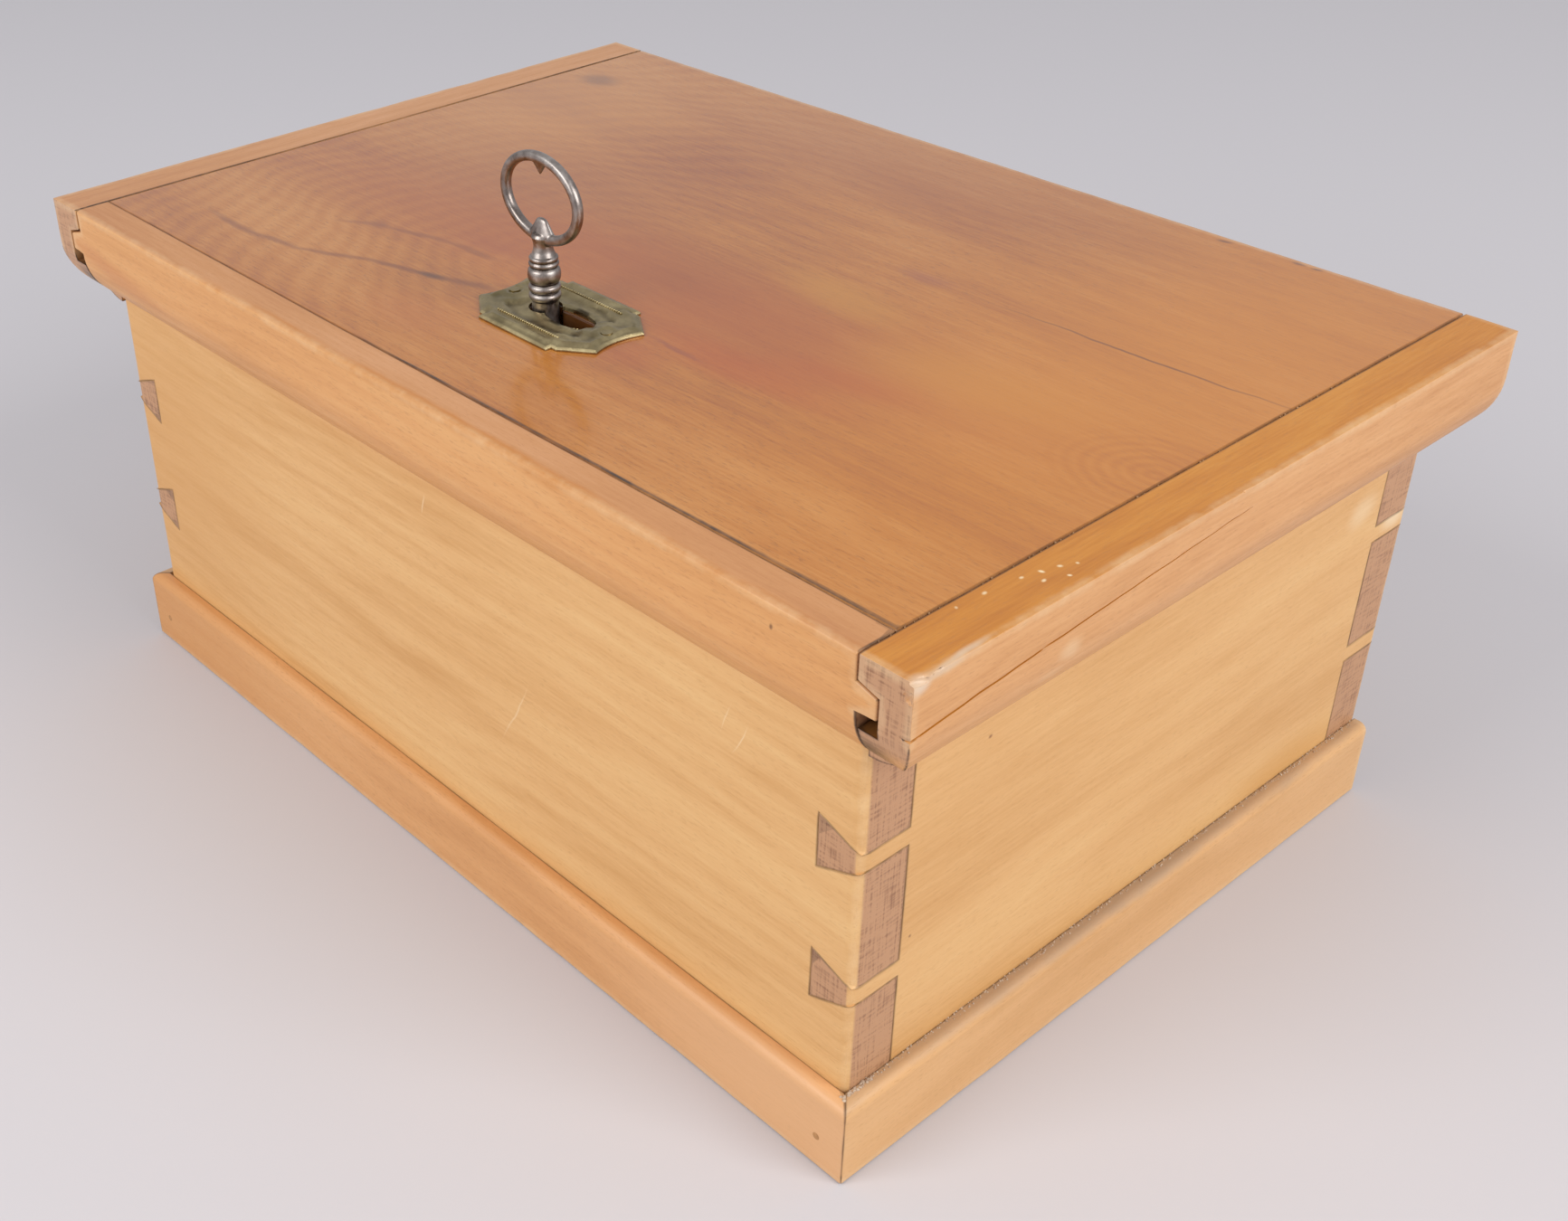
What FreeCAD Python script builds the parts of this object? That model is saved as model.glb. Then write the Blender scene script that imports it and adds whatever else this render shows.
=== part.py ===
"""Wooden money box with a sliding lid that is locked by a key.

Millimetres. X runs along the box, the front faces -Y and Z points up. The origin is on the
table, under the middle of the box.
"""

import FreeCAD
import Part
import Sketcher

import math
import os

# Driving dimensions: name, size and what it measures.
DIMENSIONS = [
    ("overall_length", 300, "over the two rails"),
    ("overall_depth", 197, "from the lid's front strip to the back"),
    ("lid_top", 134, "top of the closed lid above the table"),
    ("lid_thickness", 12, "panel and upper part of the front strip"),
    ("rail_overhang", 15, "rail beyond the side wall"),
    ("front_overhang", 7.5, "front strip beyond the front wall"),
    ("end_wall_thickness", 13.5, "front and back walls"),
    ("side_wall_thickness", 11, "left and right walls"),
    ("bottom_thickness", 10, "bottom board"),
    ("pin_low", 37, "middle of the lower dovetail pin above the bottom board"),
    ("pin_pitch", 34, "from the lower pin to the upper one"),
    ("pin_narrow", 4.5, "dovetail pin at the outer face"),
    ("pin_wide", 13, "dovetail pin at the inner face"),
    ("plinth_height", 21, "base strips"),
    ("plinth_thickness", 4, "base strips"),
    ("plinth_round", 2.5, "rounded top edge of the base strips"),
    ("moulding_radius", 15, "quarter round under the rails and the front strip"),
    ("lip_width", 12.3, "top of a rail"),
    ("lip_thickness", 5.5, "upper lip at its edge"),
    ("lip_fall", 1.5, "slope of the lip's underside"),
    ("groove_back", 7.3, "wood of the rail outside its groove"),
    ("groove_depth", 15.5, "groove's floor below the lid's top"),
    ("slide_gap", 0.4, "between the lid and a rail"),
    ("strip_thickness", 9.5, "front strip at the top"),
    ("key_offset", -5, "key's axis from the middle of the box"),
    ("key_inset", 49.5, "key's axis from the front of the lid"),
    ("plate_length", 42, "escutcheon"),
    ("plate_width", 28, "escutcheon"),
    ("plate_cut_x", 9, "cut corner of the escutcheon, along it"),
    ("plate_cut_y", 7, "cut corner of the escutcheon, across it"),
    ("plate_nick", 1.6, "small step beside each cut corner"),
    ("plate_scoop", 18, "radius of the hollowed ends of the escutcheon"),
    ("plate_offset", 5, "middle of the escutcheon from the key's axis"),
    ("plate_thickness", 0.9, "escutcheon"),
    ("plate_bevel", 0.5, "worn upper edge of the escutcheon"),
    ("plate_pin_reach", 16.3, "escutcheon pin from the middle of the plate"),
    ("plate_pin_head", 1.3, "radius"),
    ("plate_pin_shank", 0.6, "radius"),
    ("plate_pin_length", 7, "escutcheon pin in the lid"),
    ("keyhole_radius", 3.9, "round end of the keyhole"),
    ("keyhole_slot", 4.8, "width of the keyhole's slot"),
    ("keyhole_reach", 14.5, "end of the slot from the key's axis"),
    ("shank_radius", 3.1, "key"),
    ("bore_radius", 1.45, "key's hollow end"),
    ("bore_depth", 9, "key's hollow end"),
    ("bit_reach", 11.5, "key's bit from its axis"),
    ("bit_thickness", 2.6, "key's bit"),
    ("bit_height", 6, "key's bit"),
    ("collar_lift", 2.8, "collars above the lid"),
    ("collar_radius", 3.8, "key's turned collars"),
    ("collar_height", 10.6, "key's turned collars"),
    ("neck_radius", 2.5, "key under its bow"),
    ("neck_height", 3.9, "key between its collars and its bow"),
    ("bow_length", 27.5, "over the bow"),
    ("bow_height", 21, "over the bow"),
    ("bow_bar", 1.2, "radius of the bow's bar"),
    ("cusp_height", 3.4, "points inside the bow"),
    ("recess_depth", 3, "lock let into the lid"),
    ("lock_plate_thickness", 1.5, "plate between the lock and the lid"),
    ("lock_flange", 7, "lock plate beyond the case, at its ends"),
    ("case_height", 9, "lock case"),
    ("case_wall", 1.2, "lock case"),
    ("case_floor", 1, "lock case"),
    ("case_left", 31, "lock case from the key's axis"),
    ("case_right", 35, "lock case from the key's axis"),
    ("case_back", 18, "lock case from the key's axis"),
    ("pass_gap", 0.5, "lock case over the front wall"),
    ("bolt_near", 7, "bolt's edge from the key's axis"),
    ("bolt_width", 10, "bolt"),
    ("bolt_thickness", 3, "bolt"),
    ("bolt_throw", 8, "travel"),
    ("bolt_nose", 1, "retracted bolt beyond the case"),
    ("bolt_tail", 31, "bolt's end from the key's axis"),
    ("run_gap", 0.1, "between moving lock parts"),
    ("stud_radius", 1.4, "stud the bolt slides on"),
    ("stud_head", 2.6, "radius"),
    ("stud_head_height", 1, "stud"),
    ("stud_reach", 18.5, "stud from the key's axis"),
    ("spring_thickness", 0.6, "leaf spring on the bolt"),
    ("spring_width", 2.6, "leaf spring on the bolt"),
    ("spring_reach", 19, "spring's touching end from the case's end"),
    ("spring_rise", 8, "spring's fixed end from its touching end"),
    ("spring_foot", 6, "spring's fixed end along the case"),
    ("lug_gap", 3.5, "keeper beside the lock case"),
    ("lug_play", 0.6, "between the thrown bolt and the keeper"),
    ("keeper_width", 16.5, "keeper"),
    ("keeper_plate", 2, "keeper on the wall"),
    ("keeper_drop", 19, "keeper's plate below the front wall's top"),
    ("lug_rise", 6, "keeper above the front wall"),
    ("lug_height", 8, "keeper's lug"),
    ("screw_shank", 1.1, "radius"),
    ("screw_head", 2.4, "radius"),
    ("screw_head_height", 1.2, "lock and keeper screws"),
    ("lock_screw_length", 7, "lock screws"),
    ("keeper_screw_length", 9, "keeper screws"),
    ("screw_clearance", 0.1, "radius, hole over shank"),
    ("brad_radius", 0.9, "plinth and rail brads"),
    ("plinth_brad_bite", 2.5, "hidden plinth brads in the strips"),
    ("end_brad_length", 16, "brads at the ends of the front strip"),
    ("end_brad_inset", 3.5, "end brads from the wall's corner"),
    ("end_brad_height", 8.5, "end brads above the table"),
    ("rail_brad_length", 21, "rail brads"),
    ("nail_radius", 1.1, "bottom nails"),
    ("nail_length", 32, "bottom nails"),
    ("nail_head", 2.2, "radius"),
    ("nail_head_height", 1, "bottom nails"),
    ("nail_inset", 25, "outermost bottom nails from the ends of a wall"),
    ("brad_inset", 40, "outermost brads from the ends of a strip or rail"),
]

# Places worked out from the driving dimensions.
HALF = "dims.overall_length / 2"
FRONT = "-dims.overall_depth / 2"
BACK = "dims.overall_depth / 2"
WALL_X = f"({HALF} - dims.rail_overhang)"
WALL_FRONT = f"({FRONT} + dims.front_overhang)"
INNER_X = f"({WALL_X} - dims.side_wall_thickness)"
INNER_FRONT = f"({WALL_FRONT} + dims.end_wall_thickness)"
INNER_BACK = f"({BACK} - dims.end_wall_thickness)"
LID_UNDER = "(dims.lid_top - dims.lid_thickness)"
RECESS_TOP = f"({LID_UNDER} + dims.recess_depth)"
PLATE_UNDER = f"({RECESS_TOP} - dims.lock_plate_thickness)"
CASE_UNDER = f"({PLATE_UNDER} - dims.case_height)"
CASE_FLOOR = f"({CASE_UNDER} + dims.case_floor)"
FRONT_WALL_TOP = f"({CASE_UNDER} - dims.pass_gap)"
LIP_X = f"({HALF} - dims.lip_width)"
GROOVE_X = f"({HALF} - dims.groove_back)"
LIP_UNDER = "(dims.lid_top - dims.lip_thickness)"
GROOVE_FLOOR = "(dims.lid_top - dims.groove_depth)"
TONGUE_X = f"({GROOVE_X} - dims.slide_gap)"
SHOULDER_X = f"({LIP_X} - dims.slide_gap)"
KEY_X = "dims.key_offset"
KEY_Y = f"({FRONT} + dims.key_inset)"
BOLT_FRONT = f"({KEY_Y} - dims.bolt_near - dims.bolt_width)"
CASE_FRONT = f"({BOLT_FRONT} - dims.run_gap - dims.case_wall)"
BOLT_UNDER = f"({CASE_FLOOR} + dims.run_gap)"
BOLT_TOP = f"({BOLT_UNDER} + dims.bolt_thickness)"

doc = FreeCAD.newDocument("money_box")
dims = doc.addObject("Spreadsheet::Sheet", "dims")
for row, (alias, size, note) in enumerate(DIMENSIONS, start=1):
    dims.set(f"A{row}", alias)
    dims.set(f"B{row}", str(size))
    dims.set(f"C{row}", note)
    dims.setAlias(f"B{row}", alias)
doc.recompute()


def value(expression):
    """The number that an expression comes to."""
    return float(dims.evalExpression(expression))


def new_body(name):
    body = doc.addObject("PartDesign::Body", name)
    body.Label = name
    return body


def outline(body, name, plane, points, height="0"):
    """A closed sketch through points (x, y) or (x, y, radius, side), all of them expressions.

    A point with a radius starts an arc to the next point. Its centre lies to the left of the
    way there when side is 1, and to the right when side is -1. The sketch lies at height along
    the normal of one of the body's own planes.
    """
    sketch = body.newObject("Sketcher::SketchObject", name)
    support = [feature for feature in body.Origin.OriginFeatures if feature.Role == plane][0]
    sketch.AttachmentSupport = [(support, "")]
    sketch.MapMode = "FlatFace"
    sketch.setExpression("AttachmentOffset.Base.z", height)
    spots = [FreeCAD.Vector(value(point[0]), value(point[1]), 0) for point in points]
    starts = []
    ends = []
    for index, point in enumerate(points):
        start = spots[index]
        end = spots[(index + 1) % len(spots)]
        if len(point) == 2:
            sketch.addGeometry(Part.LineSegment(start, end), False)
            starts.append(1)
            ends.append(2)
            continue
        radius = value(point[2])
        chord = end - start
        normal = FreeCAD.Vector(-chord.y, chord.x, 0).normalize()
        rise = math.sqrt(max(radius ** 2 - chord.Length ** 2 / 4, 0))
        centre = (start + end) * 0.5 + normal * (rise * point[3])
        first, last = (start, end) if point[3] > 0 else (end, start)
        angles = [math.atan2(spot.y - centre.y, spot.x - centre.x) for spot in (first, last)]
        circle = Part.Circle(centre, FreeCAD.Vector(0, 0, 1), radius)
        sketch.addGeometry(Part.ArcOfCircle(circle, angles[0], angles[1]), False)
        starts.append(1 if point[3] > 0 else 2)
        ends.append(2 if point[3] > 0 else 1)
        bind(sketch, Sketcher.Constraint("Radius", index, radius), point[2])
    for index, point in enumerate(points):
        after = (index + 1) % len(points)
        joint = Sketcher.Constraint("Coincident", index, ends[index], after, starts[after])
        sketch.addConstraint(joint)
        for kind, expression, number in (
            ("DistanceX", point[0], spots[index].x),
            ("DistanceY", point[1], spots[index].y),
        ):
            bind(sketch, Sketcher.Constraint(kind, -1, 1, index, starts[index], number), expression)
    return sketch


def bind(sketch, constraint, expression):
    """Add a constraint whose size follows an expression."""
    index = sketch.addConstraint(constraint)
    sketch.setExpression(f"Constraints[{index}]", expression)


def pad(body, sketch, length, backwards=False):
    feature = body.newObject("PartDesign::Pad", f"{sketch.Name}_pad")
    feature.Profile = sketch
    feature.Reversed = backwards
    feature.setExpression("Length", length)
    doc.recompute()
    return feature


def pocket(body, sketch, length, backwards=False):
    """Cut a sketch into the body, and make sure that it did cut something."""
    before = body.Shape.Volume
    feature = body.newObject("PartDesign::Pocket", f"{sketch.Name}_pocket")
    feature.Profile = sketch
    feature.Reversed = backwards
    feature.setExpression("Length", length)
    doc.recompute()
    if body.Shape.Volume > before - 1e-6:
        raise RuntimeError(f"{sketch.Name} cuts nothing")
    return feature


def rectangle(left, right, low, high):
    return [(left, low), (right, low), (right, high), (left, high)]


def circle_points(x, y, radius):
    """A circle as four quarter turns."""
    return [
        (f"{x} + {radius}", y, radius, 1),
        (x, f"{y} + {radius}", radius, 1),
        (f"{x} - {radius}", y, radius, 1),
        (x, f"{y} - {radius}", radius, 1),
    ]


def keyhole_points():
    """A round hole at the key's axis with a slot towards +X."""
    half_slot = "dims.keyhole_slot / 2"
    mouth = f"{KEY_X} + sqrt(dims.keyhole_radius ^ 2 - ({half_slot}) ^ 2)"
    reach = f"{KEY_X} + dims.keyhole_reach"
    low = f"{KEY_Y} - {half_slot}"
    high = f"{KEY_Y} + {half_slot}"
    left = f"{KEY_X} - dims.keyhole_radius"
    return [
        (reach, low),
        (reach, high),
        (mouth, high, "dims.keyhole_radius", 1),
        (left, KEY_Y, "dims.keyhole_radius", 1),
        (mouth, low),
    ]


def place(item, x, y, z):
    """Tie an object's position to three expressions."""
    for axis, expression in zip("xyz", (x, y, z)):
        item.setExpression(f"Placement.Base.{axis}", expression)
    return item


def box(name, low, high):
    """A board between two corners, given as expressions."""
    board = doc.addObject("Part::Box", name)
    for side, first, last in zip(("Length", "Width", "Height"), low, high):
        board.setExpression(side, f"({last}) - ({first})")
    board.Label = name
    return place(board, *low)


def rod(name, radius, length, turn, at):
    cylinder = doc.addObject("Part::Cylinder", name)
    cylinder.setExpression("Radius", radius)
    cylinder.setExpression("Height", length)
    cylinder.Placement = FreeCAD.Placement(FreeCAD.Vector(), turn)
    return place(cylinder, *at)


def headed_pin(name, shank, length, head, head_height, direction, at):
    """A nail or screw whose head's top is at a place and whose shank runs in a direction."""
    turn = FreeCAD.Rotation(FreeCAD.Vector(0, 0, 1), direction)
    pin = doc.addObject("Part::Fuse", name)
    pin.Base = rod(f"{name}_shank", shank, length, turn, at)
    pin.Tool = rod(f"{name}_head", head, head_height, turn, at)
    return pin


def group(name, items):
    """Separate identical pieces that share one node."""
    compound = doc.addObject("Part::Compound", name)
    compound.Links = items
    compound.Label = name
    return compound


def mirrored(source, name):
    """The same piece on the left-hand side."""
    twin = doc.addObject("Part::Mirroring", name)
    twin.Source = source
    twin.Normal = FreeCAD.Vector(1, 0, 0)
    twin.Label = name
    return twin


def edges_at(shape, test):
    """Names of the edges whose every vertex passes a test."""
    names = []
    for index, edge in enumerate(shape.Edges, start=1):
        if all(test(vertex.Point) for vertex in edge.Vertexes):
            names.append(f"Edge{index}")
    return names


def near(number, expression):
    return abs(number - value(expression)) < 1e-4


def tail_board(name, top, outer, inner):
    """A front or back wall: a board with two dovetail sockets at each end."""
    sockets = ("dims.pin_low", "dims.pin_low + dims.pin_pitch")
    points = [(f"-{WALL_X}", "dims.bottom_thickness"), (WALL_X, "dims.bottom_thickness")]
    for middle in sockets:
        points += socket_points(WALL_X, INNER_X, middle, ("-", "+"))
    points += [(WALL_X, top), (f"-{WALL_X}", top)]
    for middle in reversed(sockets):
        points += socket_points(f"-{WALL_X}", f"-{INNER_X}", middle, ("+", "-"))
    body = new_body(name)
    sketch = outline(body, f"{name}_face", "XZ_Plane", points, f"-({inner})")
    pad(body, sketch, "dims.end_wall_thickness", backwards=value(outer) > value(inner))
    return body


def socket_points(outer, inner, middle, signs):
    """The four corners of a dovetail socket, narrow at the board's end."""
    corners = []
    centre = f"dims.bottom_thickness + {middle}"
    for x, width, sign in (
        (outer, "dims.pin_narrow", signs[0]),
        (inner, "dims.pin_wide", signs[0]),
        (inner, "dims.pin_wide", signs[1]),
        (outer, "dims.pin_narrow", signs[1]),
    ):
        corners.append((x, f"{centre} {sign} {width} / 2"))
    return corners


def pin_board(name, tail_boards):
    """The right wall: its ends are cut away by the tails of the front and back walls."""
    low = (INNER_X, WALL_FRONT, "dims.bottom_thickness")
    wall = box(f"{name}_board", low, (WALL_X, BACK, LID_UNDER))
    for index, tails in enumerate(tail_boards):
        cut = doc.addObject("Part::Cut", f"{name}_cut{index}")
        cut.Base = wall
        cut.Tool = tails
        wall = cut
    wall.Label = name
    return wall


def base_strip(name, corners, is_top_edge):
    """A plinth strip with mitred ends and a rounded top edge."""
    body = new_body(name)
    strip = pad(body, outline(body, f"{name}_plan", "XY_Plane", corners), "dims.plinth_height")
    fillet = body.newObject("PartDesign::Fillet", f"{name}_round")
    fillet.Base = (strip, edges_at(strip.Shape, is_top_edge))
    fillet.setExpression("Radius", "dims.plinth_round")
    doc.recompute()
    return body


def front_plinth():
    proud_x = f"{WALL_X} + dims.plinth_thickness"
    proud_y = f"{WALL_FRONT} - dims.plinth_thickness"
    corners = [
        (f"-({proud_x})", proud_y),
        (proud_x, proud_y),
        (WALL_X, WALL_FRONT),
        (f"-{WALL_X}", WALL_FRONT),
    ]

    def is_top_edge(point):
        return near(point.y, proud_y) and near(point.z, "dims.plinth_height")

    return base_strip("front_plinth", corners, is_top_edge)


def right_plinth():
    proud_x = f"{WALL_X} + dims.plinth_thickness"
    corners = [
        (WALL_X, WALL_FRONT),
        (proud_x, f"{WALL_FRONT} - dims.plinth_thickness"),
        (proud_x, BACK),
        (WALL_X, BACK),
    ]

    def is_top_edge(point):
        return near(point.x, proud_x) and near(point.z, "dims.plinth_height")

    return base_strip("right_plinth", corners, is_top_edge)


def moulding_drop(overhang):
    """Height of the quarter round where it meets a wall that lies overhang behind its face."""
    return f"sqrt(dims.moulding_radius ^ 2 - (dims.moulding_radius - {overhang}) ^ 2)"


def right_rail():
    """A moulded rail on the outside of the side wall, with a groove for the lid's tongue."""
    body = new_body("right_rail")
    profile = [
        (WALL_X, f"{LID_UNDER} - {moulding_drop('dims.rail_overhang')}", "dims.moulding_radius", 1),
        (HALF, LID_UNDER),
        (HALF, "dims.lid_top"),
        (LIP_X, "dims.lid_top"),
        (LIP_X, LIP_UNDER),
        (GROOVE_X, f"{LIP_UNDER} - dims.lip_fall"),
        (GROOVE_X, GROOVE_FLOOR),
        (WALL_X, GROOVE_FLOOR),
    ]
    sketch = outline(body, "right_rail_profile", "XZ_Plane", profile, f"-({BACK})")
    pad(body, sketch, "dims.overall_depth")
    depth = f"{LID_UNDER} - {moulding_drop('dims.front_overhang')}"
    under = f"{LID_UNDER} - dims.moulding_radius * 2"
    front_end = [
        (FRONT, LID_UNDER, "dims.moulding_radius", 1),
        (WALL_FRONT, depth),
        (WALL_FRONT, under),
        (FRONT, under),
    ]
    sketch = outline(body, "right_rail_end", "YZ_Plane", front_end)
    pocket(body, sketch, HALF, backwards=True)
    strip_room = rectangle(WALL_X, f"{LIP_X} + dims.slide_gap", FRONT, WALL_FRONT)
    sketch = outline(body, "right_rail_notch", "XY_Plane", strip_room)
    pocket(body, sketch, GROOVE_FLOOR, backwards=True)
    return body


def lid_profile():
    """Section of the lid: flush with the rails on top, with a tongue at each side."""
    rise = f"{LIP_UNDER} - dims.slide_gap"
    right = [
        (TONGUE_X, LID_UNDER),
        (TONGUE_X, f"{rise} - dims.lip_fall"),
        (SHOULDER_X, rise),
        (SHOULDER_X, "dims.lid_top"),
    ]
    return right + [(f"-{x}", z) for x, z in reversed(right)]


def lid_panel():
    body = new_body("lid_panel")
    sketch = outline(body, "panel_profile", "XZ_Plane", lid_profile(), f"-({BACK})")
    pad(body, sketch, "dims.overall_depth - dims.strip_thickness")
    sketch = outline(body, "panel_recess", "XY_Plane", lock_plate_points(), LID_UNDER)
    pocket(body, sketch, "dims.recess_depth", backwards=True)
    sketch = outline(body, "panel_keyhole", "XY_Plane", keyhole_points(), "dims.lid_top")
    pocket(body, sketch, "dims.lid_thickness")
    return body


def lid_front_strip():
    """The moulded front of the lid: it hangs over the front wall between the rails."""
    body = new_body("lid_front_strip")
    back = f"{FRONT} + dims.strip_thickness"
    sketch = outline(body, "strip_profile", "XZ_Plane", lid_profile(), f"-({back})")
    pad(body, sketch, "dims.strip_thickness")
    apron = [
        (FRONT, LID_UNDER, "dims.moulding_radius", 1),
        (WALL_FRONT, f"{LID_UNDER} - {moulding_drop('dims.front_overhang')}"),
        (WALL_FRONT, LID_UNDER),
    ]
    sketch = outline(body, "strip_apron", "YZ_Plane", apron, f"-{LIP_X}")
    pad(body, sketch, f"{LIP_X} * 2")
    return body


def escutcheon():
    """A brass plate with hollowed ends, cut corners with a small nick, and a keyhole."""
    middle = f"({KEY_X} + dims.plate_offset)"
    edge = "dims.plate_length / 2"
    side = "dims.plate_width / 2"
    corner = [
        (f"({edge})", f"({side} - dims.plate_cut_y)"),
        (f"({edge} - dims.plate_cut_x + dims.plate_nick)", f"({side} - dims.plate_nick)"),
        (f"({edge} - dims.plate_cut_x)", f"({side} - dims.plate_nick)"),
        (f"({edge} - dims.plate_cut_x)", f"({side})"),
    ]
    points = []
    for sign_x, sign_y, order in (("+", "+", 1), ("-", "+", -1), ("-", "-", 1), ("+", "-", -1)):
        points += [(f"{middle} {sign_x} {x}", f"{KEY_Y} {sign_y} {y}") for x, y in corner[::order]]
    for index in (7, 15):
        points[index] += ("dims.plate_scoop", -1)
    body = new_body("escutcheon")
    plate = pad(body, outline(body, "plate_outline", "XY_Plane", points, "dims.lid_top"),
                "dims.plate_thickness")
    top = "dims.lid_top + dims.plate_thickness"
    bevel = body.newObject("PartDesign::Chamfer", "plate_bevel_edge")
    bevel.Base = (plate, edges_at(plate.Shape, lambda point: near(point.z, top)))
    bevel.setExpression("Size", "dims.plate_bevel")
    doc.recompute()
    hole = outline(body, "plate_keyhole", "XY_Plane", keyhole_points(), top)
    pocket(body, hole, "dims.plate_thickness")
    for index, sign in enumerate("-+"):
        x = f"{middle} {sign} dims.plate_pin_reach"
        radius = "(dims.plate_pin_shank + dims.screw_clearance)"
        hole = outline(body, f"plate_pin_hole{index}", "XY_Plane", circle_points(x, KEY_Y, radius), top)
        pocket(body, hole, "dims.plate_thickness")
    return body


def escutcheon_pins():
    pins = []
    head_height = "dims.plate_pin_head * 0.5"
    top = f"dims.lid_top + dims.plate_thickness + {head_height}"
    for index, sign in enumerate("-+"):
        x = f"{KEY_X} + dims.plate_offset {sign} dims.plate_pin_reach"
        pins.append(headed_pin(f"plate_pin{index}", "dims.plate_pin_shank", "dims.plate_pin_length",
                               "dims.plate_pin_head", head_height, FreeCAD.Vector(0, 0, -1),
                               (x, KEY_Y, top)))
    return group("escutcheon_pins", pins)


def lock_plate_points():
    left = f"{KEY_X} - dims.case_left - dims.lock_flange"
    right = f"{KEY_X} + dims.case_right + dims.lock_flange"
    return rectangle(left, right, CASE_FRONT, f"{KEY_Y} + dims.case_back")


def lock_screw_places():
    """Two screws in each end flange of the lock plate."""
    places = []
    for x in (f"({KEY_X} - dims.case_left - dims.lock_flange / 2)",
              f"({KEY_X} + dims.case_right + dims.lock_flange / 2)"):
        for y in (f"({CASE_FRONT} + dims.lock_flange)", f"({KEY_Y} + dims.case_back - dims.lock_flange)"):
            places.append((x, y))
    return places


def lock_plate():
    body = new_body("lock_plate")
    pad(body, outline(body, "lock_plate_outline", "XY_Plane", lock_plate_points(), PLATE_UNDER),
        "dims.lock_plate_thickness")
    holes = [keyhole_points()]
    radius = "(dims.screw_shank + dims.screw_clearance)"
    holes += [circle_points(x, y, radius) for x, y in lock_screw_places()]
    for index, points in enumerate(holes):
        sketch = outline(body, f"lock_plate_hole{index}", "XY_Plane", points, RECESS_TOP)
        pocket(body, sketch, "dims.lock_plate_thickness")
    return body


def lock_case():
    """A shallow iron tray under the lock plate, with a slot for the bolt in its left end."""
    left = f"{KEY_X} - dims.case_left"
    right = f"{KEY_X} + dims.case_right"
    back = f"{KEY_Y} + dims.case_back"
    body = new_body("lock_case")
    tray = outline(body, "case_outline", "XY_Plane", rectangle(left, right, CASE_FRONT, back), CASE_UNDER)
    pad(body, tray, "dims.case_height")
    inside = rectangle(f"{left} + dims.case_wall", f"{right} - dims.case_wall",
                       f"{CASE_FRONT} + dims.case_wall", f"{back} - dims.case_wall")
    pocket(body, outline(body, "case_inside", "XY_Plane", inside, PLATE_UNDER),
           "dims.case_height - dims.case_floor")
    slot = rectangle(f"{CASE_FRONT} + dims.case_wall", f"{KEY_Y} - dims.bolt_near + dims.run_gap",
                     CASE_FLOOR, f"{BOLT_TOP} + dims.run_gap")
    pocket(body, outline(body, "case_slot", "YZ_Plane", slot, left), "dims.case_wall", backwards=True)
    return body


def lock_bolt():
    """The bolt, with a notch that the key's bit sweeps through and a slot for its stud."""
    tip = f"{KEY_X} - dims.case_left - dims.bolt_nose"
    tail = f"{KEY_X} + dims.bolt_tail"
    near_edge = f"{KEY_Y} - dims.bolt_near"
    sweep = "sqrt(dims.bit_reach ^ 2 - dims.bolt_near ^ 2) + dims.bit_thickness / 2"
    notch_left = f"{KEY_X} - ({sweep}) + dims.bolt_throw * 0.35"
    notch_right = f"{KEY_X} + {sweep} + dims.bolt_throw * 0.15"
    notch_deep = f"{KEY_Y} - dims.bit_reach - dims.run_gap * 5"
    points = [
        (tip, BOLT_FRONT),
        (tail, BOLT_FRONT),
        (tail, near_edge),
        (notch_right, near_edge),
        (notch_right, notch_deep),
        (notch_left, notch_deep),
        (notch_left, near_edge),
        (tip, near_edge),
    ]
    body = new_body("lock_bolt")
    pad(body, outline(body, "bolt_outline", "XY_Plane", points, BOLT_UNDER), "dims.bolt_thickness")
    half = "(dims.stud_radius + dims.run_gap)"
    left = f"{KEY_X} + dims.stud_reach"
    right = f"{left} + dims.bolt_throw"
    middle = f"({BOLT_FRONT} + dims.bolt_width / 2)"
    slot = [
        (left, f"{middle} - {half}"),
        (right, f"{middle} - {half}", half, 1),
        (f"{right} + {half}", middle, half, 1),
        (right, f"{middle} + {half}"),
        (left, f"{middle} + {half}", half, 1),
        (f"{left} - {half}", middle, half, 1),
    ]
    pocket(body, outline(body, "bolt_slot", "XY_Plane", slot, BOLT_TOP), "dims.bolt_thickness")
    return body


def bolt_stud():
    """A rivet in the case's floor: its shank guides the bolt and its head keeps it down."""
    head_top = f"{BOLT_TOP} + dims.run_gap + dims.stud_head_height"
    at = (f"{KEY_X} + dims.stud_reach", f"{BOLT_FRONT} + dims.bolt_width / 2", head_top)
    length = f"{head_top} - {CASE_FLOOR}"
    stud = headed_pin("bolt_stud", "dims.stud_radius", length, "dims.stud_head",
                      "dims.stud_head_height", FreeCAD.Vector(0, 0, -1), at)
    stud.Label = "bolt_stud"
    return stud


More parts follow.
